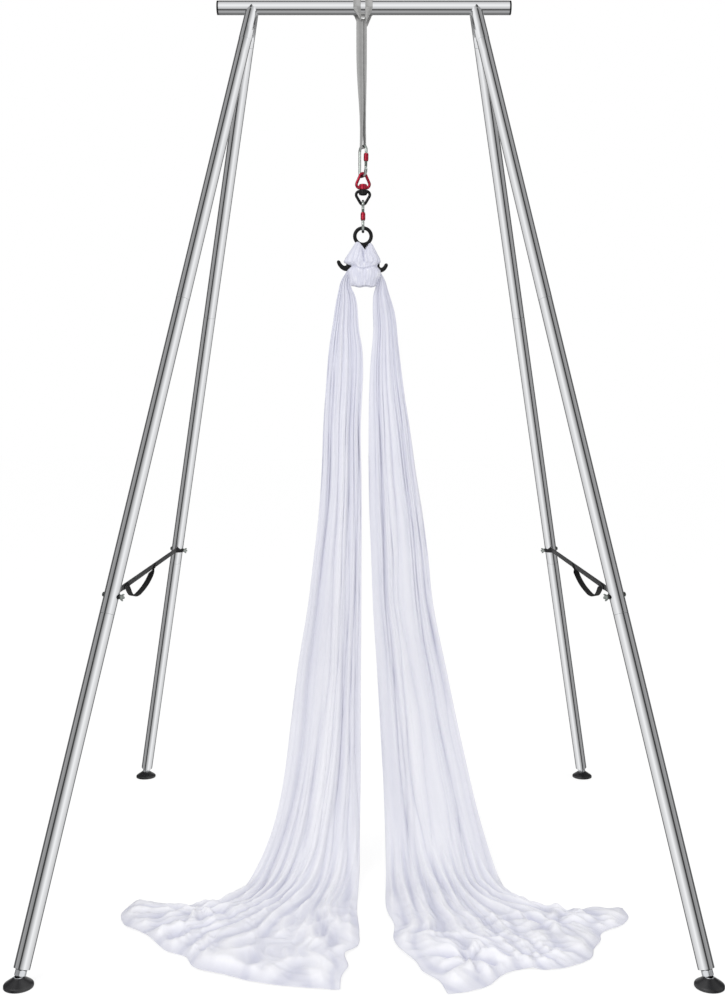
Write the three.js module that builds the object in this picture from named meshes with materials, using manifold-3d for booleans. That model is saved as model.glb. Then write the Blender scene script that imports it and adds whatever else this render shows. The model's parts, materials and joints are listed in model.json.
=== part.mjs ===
// Free-standing aerial rig: a crossbar on four leaning legs, with a webbing sling, two carabiners,
// a swivel, an eared figure-eight ring and a hitched length of white silk with two tails.
// Millimetres, +Z up. X runs along the crossbar and the front is -Y.
// The origin is on the floor, midway between the four feet.
import * as THREE from 'three';
import { mergeVertices } from 'three/addons/utils/BufferGeometryUtils.js';
import Module from 'manifold-3d';

const wasm = await Module();
wasm.setup();

// Driving sizes of the frame. Its height follows from the tubes' lengths and the legs' splay.
const crossbarLength = 1000;
const crossbarOverhang = 117;
const crossbarRadius = 24;
const crossbarWall = 2;
const legRadius = 22.5;
const legWall = 2;
const socketLength = 133;
const upperTubeLength = 971;
const middleTubeLength = 1007;
const lowerTubeLength = 958;
const legSplayX = 537;
const legSplayY = 924;

// Clearances, and how far a cutter passes the face that it cuts
const seatGap = 0.3;
const tubeFit = 0.3;
const pivotGap = 0.4;
const overrun = 6;
const weldDistance = 0.0005;

// Leg joints
const spigotLength = 80;
const socketSpigotLength = 60;
const boltAboveSeam = 55;
const boltRadius = 4;
const boltHeadRadius = 9;
const boltHeadHeight = 5;
const boltTail = 5;
const wingHubRadius = 7;
const wingHubHeight = 8;
const wingSpan = 30;
const wingHeight = 13;
const wingThickness = 2.6;
const wingNutPlay = 0.7;

// End caps
const capFlange = 4;
const capPlugDepth = 22;
const capPlugBore = 15;

// Feet, from the end of the leg to the floor
const ballHeight = 13;
const ballRadius = 9;
const studReach = 33;
const studRadius = 6;
const studNeckRadius = 4;
const studNeckLength = 12;
const studInsideLength = 18;
const plugInsertDepth = 20;
const plugCollarRadius = 16.5;
const plugCollarHeight = 10;
const lockNutAcrossFlats = 22;
const lockNutHeight = 7.5;
const padRadius = 40;
const padRimHeight = 8;
const padShoulderRadius = 37;
const padTopRadius = 11.5;
const padTopHeight = 23;
const padMouthRadius = 9.8;

// Side straps and their hand loops
const strapWidth = 20;
const strapThickness = 3;
const strapEndReach = 16;
const handLoopStart = 104;
const handLoopLength = 486;
const handLoopDrop = 46;
const handLoopLayerShare = 0.85;
const handLoopShares = [[0, -0.12], [0.1, -0.62], [0.22, -0.95], [0.35, -1], [0.66, -0.58], [1, -0.12]];

// Rigging: everything below the crossbar hangs on one vertical line
const riggingX = -3.5;
const slingDrop = 528;
const slingWidth = 25;
const slingThickness = 3;
const slingBandGap = 0.6;
const slingBandSpacing = 41;
const slingFrontAngle = 2.5;
const slingBackAngle = 2.65;
const slingStrandTop = 58;
const slingStrandOverlap = 26;
const slingStrandShift = 5;
const slingStrandApart = 1.9;
const slingEyeWidth = 18;
const slingEyeGap = 0.9;
const slingBridgeDepth = 16.5;
const slingBridgeDrop = 25.5;
const slingBridgeHeight = 11;
const slingWaistShare = 0.9;
const slingTailShares = [0.3, 1, 1.6];
const upperCarabinerTurn = 1.1;

// Carabiners: one size, used twice
const carabinerLength = 112;
const carabinerWidth = 59;
const carabinerRod = 4.75;
const carabinerNoseArc = 18;
const carabinerSpineArc = 16;
const carabinerHingeArc = 15;
const carabinerHingeInset = 4;
const gateRise = 6;
const noseStraight = 6.5;
const gateRadius = 4.4;
const gateThreadRadius = 4.85;
const gateThreadStart = 9;
const gateThreadEnd = 32;
const tongueHalfWidth = 2.4;
const tongueRadius = 4.2;
const rivetRadius = 1.5;
const sleeveBore = 5.25;
const sleeveRadius = 8.25;
const sleeveLength = 27;
const sleeveChamfer = 1.4;
const upperSleeveHeight = 9.5;
const lowerSleeveHeight = 4;

// Swivel: two eyes on one axle
const eyeRod = 4.6;
const eyeApexArc = 10.75;
const redEyeLength = 56.5;
const blackEyeLength = 50.5;
const redShoulderArc = 13;
const redShoulderSpacing = 19;
const blackShoulderArc = 12.5;
const blackShoulderSpacing = 22;
const bossRadius = 11;
const redBossHeight = 19;
const blackBossHeight = 19;
const axleRadius = 5;
const axleBoreGap = 0.4;
const axleHeadRadius = 7.6;
const axleHeadHeight = 4.5;
const axleGrip = 15;
const bearingHeight = 3;
const axleSeatDepth = 9;

// Figure-eight with ears
const figureRod = 6.35;
const smallRingRadius = 28.15;
const bigRingWidth = 102.3;
const bigRingHeight = 92.3;
const ringSpacing = 100;
const neckWidth = 26;
const neckWaist = 19;
const earReach = 86;
const earRoot = 46;
const earDip = 24;
const earRise = 18;
const earRootRod = 8;
const earTipRod = 6;
const earTipShare = 0.6;

// Silk hitch round the figure-eight
const hitchBelowRing = 67.1;
const hitchHeight = 144;
const hitchWidth = 161;
const hitchDepth = 78;
const hitchPleat = 1.3;
const hitchNotch = 34;
const hitchNotchWidth = 46;
const hitchLevelShares = [
  [0, 1, 0.84], [0.083, 0.94, 0.92], [0.19, 0.82, 0.98], [0.354, 0.77, 1], [0.435, 0.745, 0.9],
  [0.53, 0.79, 0.98], [0.7, 0.68, 0.9], [0.88, 0.54, 0.76], [1, 0.43, 0.62],
];
// How much of the V opening each level from the top takes, and how square a level is (1 is an ellipse)
const hitchNotchShares = [1, 0.55, 0.2];
const hitchSquareness = 0.8;

// Silk tails: each hangs from the hitch and pools on the floor
const silkThickness = 1.8;
const silkLift = 0.8;
const silkFolds = 4;
const topFoldDepth = 27;
const hangFoldDepth = 36;
const poolFoldHeight = 46;
const hemFoldHeight = 24;
const silkBendHeight = 700;
const silkHangPitch = 1.1;
const silkFloorPitch = 1.3;
const leftTopInner = 45;
const leftTopOuter = 82;
const leftFloorInner = 11;
const leftFloorOuter = 383;
const leftInnerForward = 133;
const leftOuterForward = 301;
const leftHemInner = 952;
const leftHemOuter = 790;
const rightTopInner = 42;
const rightTopOuter = 77;
const rightFloorInner = 80;
const rightFloorOuter = 420;
const rightInnerForward = 60;
const rightOuterForward = 40;
const rightHemInner = 972;
const rightHemOuter = 885;
const silkTails = {
  left: {
    side: -1,
    top: { inner: leftTopInner, outer: leftTopOuter },
    floor: {
      inner: leftFloorInner, outer: leftFloorOuter,
      innerForward: leftInnerForward, outerForward: leftOuterForward,
    },
    hem: { innerAngle: 0.066, outerAngle: 1.145, innerRadius: leftHemInner, outerRadius: leftHemOuter },
    levelShares: [
      [1, 0, 0], [0.963, 0.62, 0.05], [0.912, 0.92, 0.1], [0.811, 1.1, 0.163], [0.71, 1.04, 0.2],
      [0.583, 1.05, 0.25], [0.456, 1.06, 0.352], [0.33, 1, 0.48], [0.228, 0.96, 0.56], [0.152, 0.92, 0.62],
      [0.091, 0.95, 0.7], [0.046, 1, 0.83],
    ],
  },
  right: {
    side: 1,
    top: { inner: rightTopInner, outer: rightTopOuter },
    floor: {
      inner: rightFloorInner, outer: rightFloorOuter,
      innerForward: rightInnerForward, outerForward: rightOuterForward,
    },
    hem: { innerAngle: 0.223, outerAngle: 1.112, innerRadius: rightHemInner, outerRadius: rightHemOuter },
    levelShares: [
      [1, 0, 0], [0.963, -0.29, 0.04], [0.912, -0.26, 0.105], [0.811, -0.63, 0.178], [0.71, -0.66, 0.275],
      [0.583, -0.6, 0.386], [0.456, -0.32, 0.46], [0.33, 0.08, 0.6], [0.228, 0.37, 0.72],
      [0.152, 0.58, 0.816], [0.091, 0.76, 0.89], [0.046, 0.9, 0.944],
    ],
  },
};
const poolRowShares = [0, 0.1, 0.26, 0.44, 0.62, 0.81, 1];

// Facets
const tubeSides = 16;
const crossbarSides = 24;
const smallSides = 12;
const padSides = 20;
const rodSides = 8;
const arcSteps = 5;
const ballSteps = 4;
const handLoopSteps = 14;
const slingBandSteps = 12;
const slingBridgeSteps = 4;
const slingStrandSteps = 6;
const slingBightSteps = 8;
const smallRingSteps = 18;
const bigRingSteps = 20;
const neckSteps = 4;
const earSteps = 6;
const hitchPoints = 24;

// Places worked out from the sizes
const legTopSpacing = crossbarLength - 2 * crossbarOverhang;
const upperStart = socketLength + seatGap;
const middleStart = upperStart + upperTubeLength + seatGap;
const lowerStart = middleStart + middleTubeLength + seatGap;
const legLength = lowerStart + lowerTubeLength;
const boltStation = lowerStart - boltAboveSeam;
const legDrop = Math.sqrt((legLength + studReach) ** 2 - legSplayX ** 2 - legSplayY ** 2);
const crossbarHeight = ballHeight + legDrop;
const boltHoleRadius = boltRadius + tubeFit;
const strapSeat = legRadius + seatGap + strapThickness / 2;

// Finishes
const finish = (color, metalness, roughness) => (
  new THREE.MeshStandardMaterial({ color, metalness, roughness })
);
const chromedSteel = finish(0xc9ccd0, 1, 0.14);
const blackPlastic = finish(0x141416, 0, 0.45);
const blackRubber = finish(0x1b1b1c, 0, 0.8);
const zincSteel = finish(0xb6b9bd, 1, 0.32);
const blackWebbing = finish(0x2a2a2c, 0, 0.9);
const greyWebbing = finish(0xa9a9a8, 0, 0.85);
const forgedSteel = finish(0xaeb1b4, 1, 0.28);
const redAnodised = finish(0xc2182c, 0.7, 0.32);
const blackAnodised = finish(0x17181a, 0.5, 0.4);
const whiteSilk = finish(0xe4e4ee, 0, 0.6);

const legs = [
  { name: 'front_left', sideX: -1, sideY: -1 },
  { name: 'front_right', sideX: 1, sideY: -1 },
  { name: 'rear_left', sideX: -1, sideY: 1 },
  { name: 'rear_right', sideX: 1, sideY: 1 },
];

const v3 = (x, y, z) => new THREE.Vector3(x, y, z);
const range = (count) => Array.from({ length: count }, (_, i) => i);
const mix = (a, b, t) => a + (b - a) * t;

// A geometry with only shared positions, no collapsed triangles, and faces that point out.
function weld(geometry) {
  const bare = new THREE.BufferGeometry();
  bare.setAttribute('position', geometry.attributes.position.clone());
  if (geometry.index) bare.setIndex(geometry.index.clone());
  const merged = mergeVertices(bare, weldDistance);
  const index = merged.index.array;
  const kept = [];
  for (let i = 0; i < index.length; i += 3) {
    const [a, b, c] = [index[i], index[i + 1], index[i + 2]];
    if (a !== b && b !== c && a !== c) kept.push(a, b, c);
  }
  merged.setIndex(signedVolume(merged, kept) < 0 ? kept.reverse() : kept);
  return merged;
}

function signedVolume(geometry, index) {
  const corner = range(3).map(() => new THREE.Vector3());
  let volume = 0;
  for (let i = 0; i < index.length; i += 3) {
    corner.forEach((p, k) => p.fromBufferAttribute(geometry.attributes.position, index[i + k]));
    volume += corner[0].dot(corner[1].cross(corner[2]));
  }
  return volume;
}

function toSolid(geometry) {
  const welded = weld(geometry);
  return new wasm.Manifold(new wasm.Mesh({
    numProp: 3,
    vertProperties: Float32Array.from(welded.attributes.position.array),
    triVerts: Uint32Array.from(welded.index.array),
  }));
}

function fromSolid(solid) {
  const { vertProperties, triVerts } = solid.getMesh();
  const geometry = new THREE.BufferGeometry();
  geometry.setAttribute('position', new THREE.BufferAttribute(new Float32Array(vertProperties), 3));
  geometry.setIndex(new THREE.BufferAttribute(new Uint32Array(triVerts), 1));
  return geometry;
}

const joined = (geometries) => geometries.map(toSolid).reduce((all, one) => all.add(one));
const cut = (solid, geometries) => geometries.map(toSolid).reduce((rest, one) => rest.subtract(one), solid);

function piece(name, geometry, material) {
  const mesh = new THREE.Mesh(geometry, material.clone());
  mesh.geometry.computeVertexNormals();
  mesh.name = name;
  return mesh;
}

// A profile of [radius, height] points turned about Z. One that leaves the axis closes on itself.
function revolve(profile, sides) {
  const points = profile.map(([radius, height]) => new THREE.Vector2(radius, height));
  if (profile[0][0] > 0) points.push(points[0].clone());
  return weld(new THREE.LatheGeometry(points, sides).rotateX(Math.PI / 2));
}

// A round bar along Z from one height to another.
function bar(radius, from, to, sides) {
  const length = to - from;
  return new THREE.CylinderGeometry(radius, radius, length, sides)
    .rotateX(Math.PI / 2).translate(0, 0, from + length / 2);
}

const alongX = (geometry) => geometry.rotateY(Math.PI / 2);
const alongY = (geometry) => geometry.rotateX(Math.PI / 2);

// Skins rings of equally many points; open ends are closed by a fan round the middle, moved by capShift.
function loft(rings, { closed = false, capShift = v3(0, 0, 0) } = {}) {
  const count = rings[0].length;
  const points = rings.flat();
  const index = [];
  const steps = closed ? rings.length : rings.length - 1;
  for (let k = 0; k < steps; k += 1) {
    const here = k * count;
    const there = ((k + 1) % rings.length) * count;
    for (let j = 0; j < count; j += 1) {
      const next = (j + 1) % count;
      index.push(here + j, here + next, there + next, here + j, there + next, there + j);
    }
  }
  if (!closed) {
    [0, rings.length - 1].forEach((k) => {
      const middle = rings[k].reduce((sum, p) => sum.add(p), v3(0, 0, 0)).divideScalar(count);
      points.push(k === 0 ? middle : middle.add(capShift));
      const centre = points.length - 1;
      for (let j = 0; j < count; j += 1) {
        const [a, b] = [k * count + j, k * count + ((j + 1) % count)];
        index.push(centre, k === 0 ? b : a, k === 0 ? a : b);
      }
    });
  }
  const geometry = new THREE.BufferGeometry().setFromPoints(points);
  geometry.setIndex(index);
  return weld(geometry);
}

// A belt pulled tight round circles listed anticlockwise in the XZ plane: for each circle, the points
// where the belt lies on it, each with the angle of its outward normal.
function belt(circles) {
  const last = circles.length - 1;
  const leaving = circles.map((circle, i) => {
    const next = circles[i === last ? 0 : i + 1];
    const [dx, dz] = [next.x - circle.x, next.z - circle.z];
    return Math.atan2(dz, dx) - Math.acos((circle.r - next.r) / Math.hypot(dx, dz));
  });
  return circles.map((circle, i) => {
    const from = leaving[i === 0 ? last : i - 1];
    const turn = (leaving[i] - from + 4 * Math.PI) % (2 * Math.PI);
    return range(arcSteps + 1).map((k) => {
      const angle = from + (turn * k) / arcSteps;
      return { x: circle.x + circle.r * Math.cos(angle), z: circle.z + circle.r * Math.sin(angle), angle };
    });
  });
}

// A round section at a belt point, square to the belt.
function rodSection({ x, z, angle }, radius) {
  return range(rodSides).map((j) => {
    const a = (j / rodSides) * 2 * Math.PI;
    const out = radius * Math.cos(a);
    return v3(x + out * Math.cos(angle), radius * Math.sin(a), z + out * Math.sin(angle));
  });
}

// The frame of one leg: its origin is where the leg's axis meets the crossbar's, Z runs up the leg and
// X points away from the rig's middle.
function ballPlace({ sideX, sideY }) {
  return v3(sideX * (legTopSpacing / 2 + legSplayX), sideY * legSplayY, ballHeight);
}

function legTop({ sideX }) {
  return v3((sideX * legTopSpacing) / 2, 0, crossbarHeight);
}

function legFrame(leg) {
  const down = ballPlace(leg).sub(legTop(leg)).normalize();
  const up = down.clone().negate();
  const out = v3(leg.sideX, 0, 0).addScaledVector(down, -leg.sideX * down.x).normalize();
  const frame = new THREE.Group();
  frame.position.copy(legTop(leg));
  frame.quaternion.setFromRotationMatrix(new THREE.Matrix4().makeBasis(out, up.clone().cross(out), up));
  frame.updateMatrix();
  return frame;
}

function crossbar() {
  const half = crossbarLength / 2;
  const bore = crossbarRadius - crossbarWall;
  const tube = revolve([
    [bore, -half], [crossbarRadius, -half], [crossbarRadius, half], [bore, half],
  ], crossbarSides);
  const plug = bore - tubeFit;
  const cap = revolve([
    [0, seatGap], [0, seatGap + capFlange], [crossbarRadius, seatGap + capFlange], [crossbarRadius, seatGap],
    [plug, seatGap], [plug, -capPlugDepth], [capPlugBore, -capPlugDepth], [capPlugBore, seatGap],
  ].reverse(), crossbarSides);
  const group = new THREE.Group();
  group.position.z = crossbarHeight;
  group.add(piece('crossbar_tube', alongX(tube), chromedSteel));
  [['end_cap_left', -1], ['end_cap_right', 1]].forEach(([name, side]) => {
    const mesh = piece(name, cap.clone(), blackPlastic);
    mesh.rotation.y = (side * Math.PI) / 2;
    mesh.position.x = side * half;
    group.add(mesh);
  });
  return group;
}

// A socket is cut to the crossbar's round and mitred against the socket of the opposite leg.
function legSocket(leg, frame) {
  const blank = bar(legRadius, -socketLength, 0, tubeSides).applyMatrix4(frame.matrix);
  const bore = bar(legRadius - legWall, -socketLength - overrun, overrun, tubeSides)
    .applyMatrix4(frame.matrix);
  const half = crossbarLength / 2;
  const saddle = alongX(bar(crossbarRadius + seatGap, -half, half, crossbarSides))
    .translate(0, 0, crossbarHeight);
  const far = 2 * socketLength;
  const mitre = new THREE.BoxGeometry(far, far, far)
    .translate(frame.position.x, leg.sideY * (seatGap / 2 - far / 2), crossbarHeight);
  const top = new THREE.BoxGeometry(far, far, far).translate(frame.position.x, 0, crossbarHeight + far / 2);
  const socket = fromSolid(cut(toSolid(blank), [bore, saddle, mitre, top]));
  return socket.applyMatrix4(frame.matrix.clone().invert());
}

// A leg tube from one station to another down the leg, with a swaged spigot above its shoulder.
function legTube(start, end, spigot) {
  const bore = legRadius - legWall;
  const spigotRadius = bore - tubeFit;
  const spigotBore = spigotRadius - legWall;
  return revolve([
    [spigotBore, -start + spigot], [spigotBore, -start - legWall], [bore, -start - 2 * legWall],
    [bore, -end], [legRadius, -end], [legRadius, -start], [spigotRadius, -start],
    [spigotRadius, -start + spigot],
  ], tubeSides);
}

function boltHole() {
  return alongX(bar(boltHoleRadius, -legRadius - overrun, legRadius + overrun, smallSides))
    .translate(0, 0, -boltStation);
}

function strapBolt() {
  const seat = legRadius + seatGap;
  const tip = -(strapSeat + strapThickness / 2 + wingNutPlay + wingHubHeight + boltTail);
  const profile = [
    [0, tip], [boltRadius, tip], [boltRadius, seat], [boltHeadRadius, seat],
    [boltHeadRadius, seat + boltHeadHeight / 3], [boltHeadRadius / 2, seat + boltHeadHeight],
    [0, seat + boltHeadHeight],
  ];
  return alongX(revolve(profile, smallSides)).translate(0, 0, -boltStation);
}

function wingNut() {
  const seat = strapSeat + strapThickness / 2 + wingNutPlay;
  const hub = bar(wingHubRadius, seat, seat + wingHubHeight, smallSides);
  const wings = new THREE.Shape([
    [-wingHubRadius / 2, 0], [wingHubRadius / 2, 0], [wingSpan / 2, wingHubHeight],
    [wingSpan / 2, wingHeight], [wingHubRadius, wingHeight], [0, wingHubHeight],
    [-wingHubRadius, wingHeight], [-wingSpan / 2, wingHeight], [-wingSpan / 2, wingHubHeight],
  ].map(([x, y]) => new THREE.Vector2(x, y)));
  const blade = new THREE.ExtrudeGeometry(wings, { depth: wingThickness, bevelEnabled: false })
    .translate(0, 0, -wingThickness / 2).rotateX(Math.PI / 2).translate(0, 0, seat);
  const hole = bar(boltHoleRadius, seat - overrun, seat + wingHeight + overrun, smallSides);
  return alongX(fromSolid(cut(joined([hub, blade]), [hole]))).rotateZ(Math.PI).translate(0, 0, -boltStation);
}

function endPlug() {
  const bore = studRadius + tubeFit;
  const insert = legRadius - legWall - tubeFit;
  return revolve([
    [bore, plugInsertDepth], [bore, -plugCollarHeight], [plugCollarRadius, -plugCollarHeight],
    [plugCollarRadius, 0], [insert, 0], [insert, plugInsertDepth],
  ], tubeSides);
}

function lockNut() {
  const corner = lockNutAcrossFlats / 2 / Math.cos(Math.PI / 6);
  const hexagon = new THREE.Shape(range(6).map((i) => {
    const a = (i * Math.PI) / 3;
    return new THREE.Vector2(corner * Math.cos(a), corner * Math.sin(a));
  }));
  const hole = new THREE.Path().absarc(0, 0, studRadius + tubeFit, 0, 2 * Math.PI, true);
  hexagon.holes.push(hole);
  const top = -plugCollarHeight - seatGap;
  return weld(new THREE.ExtrudeGeometry(hexagon, {
    depth: lockNutHeight, bevelEnabled: false, curveSegments: smallSides / 2,
  }).translate(0, 0, top - lockNutHeight));
}

function footStud() {
  const neckStart = Math.asin(studNeckRadius / ballRadius);
  const neckHead = -studReach + studNeckLength;
  const ball = range(ballSteps + 1).map((i) => {
    const a = mix(neckStart, Math.PI, i / ballSteps);
    return [i === ballSteps ? 0 : ballRadius * Math.sin(a), -studReach + ballRadius * Math.cos(a)];
  });
  return revolve([
    [0, studInsideLength], [studRadius, studInsideLength], [studRadius, neckHead + studRadius / 2],
    [studNeckRadius, neckHead], ...ball,
  ], smallSides);
}

// The pad's socket holds the ball past its middle and opens above it for the stud to tilt.
function footPad() {
  const socket = ballRadius + pivotGap;
  const lip = ballHeight + socket / 2;
  const lipAngle = Math.asin((lip - ballHeight) / socket);
  const cup = range(ballSteps + 1).map((i) => {
    const a = mix(lipAngle, -Math.PI / 2, i / ballSteps);
    return [i === ballSteps ? 0 : socket * Math.cos(a), ballHeight + socket * Math.sin(a)];
  });
  const shoulderHeight = padRimHeight + padRadius - padShoulderRadius;
  return revolve([
    [0, 0], [padRadius, 0], [padRadius, padRimHeight], [padShoulderRadius, shoulderHeight],
    [padTopRadius, padTopHeight], [padMouthRadius, padTopHeight], ...cup,
  ], padSides);
}

function leg(place) {
  const frame = legFrame(place);
  const foot = new THREE.Group();
  foot.position.z = -legLength;
  frame.add(foot);
  const hole = [boltHole()];
  const middle = cut(toSolid(legTube(middleStart, lowerStart - seatGap, spigotLength)), hole);
  const lower = cut(toSolid(legTube(lowerStart, legLength, spigotLength)), hole);
  frame.add(piece(`leg_socket_${place.name}`, legSocket(place, frame), chromedSteel));
  frame.add(piece(`upper_leg_${place.name}`,
    legTube(upperStart, middleStart - seatGap, socketSpigotLength), chromedSteel));
  frame.add(piece(`middle_leg_${place.name}`, fromSolid(middle), chromedSteel));
  frame.add(piece(`lower_leg_${place.name}`, fromSolid(lower), chromedSteel));
  frame.add(piece(`strap_bolt_${place.name}`, strapBolt(), zincSteel));
  frame.add(piece(`wing_nut_${place.name}`, wingNut(), zincSteel));
  foot.add(piece(`leg_end_plug_${place.name}`, endPlug(), blackPlastic));
  foot.add(piece(`foot_lock_nut_${place.name}`, lockNut(), zincSteel));
  foot.add(piece(`foot_stud_${place.name}`, footStud(), zincSteel));
  const pad = piece(`foot_pad_${place.name}`, footPad(), blackRubber);
  const ball = ballPlace(place);
  pad.position.set(ball.x, ball.y, 0);
  return [frame, pad];
}

// A side strap lies flat on the inner side of both legs. Its hand loop is sewn to its inner face.
function sideStrap(name, front, rear) {
  const seats = [front, rear].map((place) => (
    v3(-strapSeat, 0, -boltStation).applyMatrix4(legFrame(place).matrix)
  ));
  const along = seats[1].clone().sub(seats[0]);
  const span = along.length();
  along.normalize();
  const outs = [front, rear].map((place) => v3(1, 0, 0).transformDirection(legFrame(place).matrix));
  const normal = outs[0].add(outs[1]).projectOnPlane(along).normalize();
  const half = strapWidth / 2;
  const tip = strapEndReach - half;
  const band = new THREE.Shape();
  band.absarc(span + tip, 0, half, -Math.PI / 2, Math.PI / 2, false);
  band.absarc(-tip, 0, half, Math.PI / 2, Math.PI * 1.5, false);
  [0, span].forEach((x) => {
    band.holes.push(new THREE.Path().absarc(x, 0, boltHoleRadius, 0, 2 * Math.PI, true));
  });
  const options = { depth: strapThickness, bevelEnabled: false, curveSegments: smallSides / 2 };
  const strap = new THREE.ExtrudeGeometry(band, options);
  const route = new THREE.SplineCurve(handLoopShares.map(([x, y]) => (
    new THREE.Vector2(handLoopStart + x * handLoopLength, y * handLoopDrop)
  )));
  const edges = [1, -1].map((side) => range(handLoopSteps + 1).map((i) => {
    const t = route.getTangent(i / handLoopSteps);
    return route.getPoint(i / handLoopSteps).add(new THREE.Vector2(-t.y, t.x).multiplyScalar(side * half));
  }));
  const ribbon = new THREE.Shape([...edges[0], ...edges[1].reverse()]);
  const loop = new THREE.ExtrudeGeometry(ribbon, options)
    .translate(0, 0, -front.sideX * strapThickness * handLoopLayerShare);
  const mesh = piece(name, fromSolid(joined([strap, loop])), blackWebbing);
  mesh.geometry.translate(0, 0, -strapThickness / 2);
  const up = normal.cross(along).multiplyScalar(front.sideX);
  mesh.position.copy(seats[0]);
  mesh.quaternion.setFromRotationMatrix(new THREE.Matrix4().makeBasis(along, up, along.clone().cross(up)));
  return mesh;
}

// One flat webbing section: a rectangle about a centre, across its width and its thickness.
function flatSection(centre, across, through, width, thickness) {
  return [[-1, -1], [1, -1], [1, 1], [-1, 1]].map(([a, b]) => (
    centre.clone().addScaledVector(across, (a * width) / 2).addScaledVector(through, (b * thickness) / 2)
  ));
}

// One of the two bands that go over the crossbar and come down behind it into a strand.
function slingBand(side) {
  const radius = crossbarRadius + slingBandGap + slingThickness / 2;
  const round = range(slingBandSteps + 1).map((i) => {
    const a = mix(-slingFrontAngle, slingBackAngle, i / slingBandSteps);
    const through = v3(0, Math.sin(a), Math.cos(a));
    const shift = i > slingBandSteps - 2 ? slingWaistShare : 1;
    const centre = through.clone().multiplyScalar(radius).setX((shift * side * slingBandSpacing) / 2);
    return flatSection(centre, v3(1, 0, 0), through, slingWidth, slingThickness);
  });
  const tail = slingTailShares.map((t) => {
    const drop = mix(crossbarRadius, slingStrandTop, t) + (t > 1 ? slingStrandOverlap / 2 : 0);
    const x = mix((side * slingBandSpacing) / 2, side * slingStrandShift, Math.min(1, t));
    const y = mix(crossbarRadius / 2, side * slingStrandApart, Math.min(1, t));
    return flatSection(v3(x, y, -drop), v3(1, 0, 0), v3(0, 1, 0), slingWidth, slingThickness);
  });
  return loft([...round, ...tail]);
}

// The bight that bridges the two bands in front, and that the strands hang behind.
function slingBridge() {
  const half = slingBandSpacing / 2 + slingWidth / 3;
  return loft(range(slingBridgeSteps + 1).map((i) => {
    const x = mix(-half, half, i / slingBridgeSteps);
    const sag = slingThickness * Math.cos((Math.PI * x) / 2 / half);
    return flatSection(v3(x, -slingBridgeDepth - sag, -slingBridgeDrop), v3(0, 0, 1), v3(0, 1, 0),
      slingBridgeHeight, slingThickness);
  }));
}

// The two strands in one run: down the front one, round the carabiner's rod and up the rear one.
function slingStrands() {
  const rodHeight = upperCarabinerHeight + carabinerLength / 2 - carabinerRod - crossbarHeight;
  const eye = carabinerRod + slingEyeGap + slingThickness / 2;
  const section = (t, side) => {
    const ease = t * t * (3 - 2 * t);
    const turn = upperCarabinerTurn * ease;
    const across = v3(Math.cos(turn), -Math.sin(turn), 0);
    const through = v3(-Math.sin(turn), -Math.cos(turn), 0);
    const apart = mix(slingStrandApart, eye, t ** 3);
    const shift = mix(slingStrandShift, 0, ease);
    const centre = v3(0, 0, mix(-slingStrandTop, rodHeight, t))
      .addScaledVector(through, side * apart).addScaledVector(across, -side * shift);
    return flatSection(centre, across, through, mix(slingWidth, slingEyeWidth, ease), slingThickness);
  };
  const across = v3(Math.cos(upperCarabinerTurn), -Math.sin(upperCarabinerTurn), 0);
  const front = v3(-Math.sin(upperCarabinerTurn), -Math.cos(upperCarabinerTurn), 0);
  const bight = range(slingBightSteps - 1).map((i) => {
    const a = (Math.PI * (i + 1)) / slingBightSteps;
    const through = front.clone().multiplyScalar(Math.cos(a)).setZ(-Math.sin(a));
    return flatSection(v3(0, 0, rodHeight).addScaledVector(through, eye), across, through,
      slingEyeWidth, slingThickness);
  });
  const run = range(slingStrandSteps + 1).map((i) => i / slingStrandSteps);
  const down = run.map((t) => section(t, 1));
  const up = run.map((t) => flip(section(1 - t, -1)));
  return loft([...down, ...bight, ...up]);
}

// The rear strand's section seen from its other side, so that the run keeps its inner and outer faces.
function flip([a, b, c, d]) {
  return [d, c, b, a];
}

function sling() {
  const parts = [slingBand(-1), slingBand(1), slingBridge(), slingStrands()];
  const mesh = piece('sling', fromSolid(joined(parts)), greyWebbing);
  mesh.position.set(riggingX, 0, crossbarHeight);
  return mesh;
}

// A carabiner about its own middle: the spine is at -X, the gate at +X, the nose up and the hinge down.
const carabinerOutline = (() => {
  const halfWidth = carabinerWidth / 2 - carabinerRod;
  const halfLength = carabinerLength / 2 - carabinerRod;
  const circles = [
    {
      x: halfWidth - carabinerHingeInset - carabinerHingeArc, z: -halfLength + carabinerHingeArc,
      r: carabinerHingeArc,
    },
    { x: halfWidth - carabinerNoseArc, z: halfLength - carabinerNoseArc, r: carabinerNoseArc },
    { x: -halfWidth + carabinerSpineArc, z: halfLength - carabinerSpineArc, r: carabinerSpineArc },
    { x: -halfWidth + carabinerSpineArc, z: -halfLength + carabinerSpineArc, r: carabinerSpineArc },
  ];
  const [hinge, nose, spineTop, spineFoot] = belt(circles);
  const gateFoot = hinge[arcSteps];
  const gateHead = nose[0];
  const line = v3(gateHead.x - gateFoot.x, 0, gateHead.z - gateFoot.z);
  const length = line.length();
  line.normalize();
  const pivot = v3(gateFoot.x, 0, gateFoot.z).addScaledVector(line, gateRise);
  const tip = v3(gateHead.x, 0, gateHead.z).addScaledVector(line, -noseStraight);
  return {
    pivot,
    lean: Math.atan2(line.x, line.z),
    gateLength: length - gateRise - noseStraight,
    path: [
      { x: tip.x, z: tip.z, angle: gateHead.angle }, ...nose, ...spineTop, ...spineFoot, ...hinge,
      { x: pivot.x, z: pivot.z, angle: gateFoot.angle },
    ],
  };
})();

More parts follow.
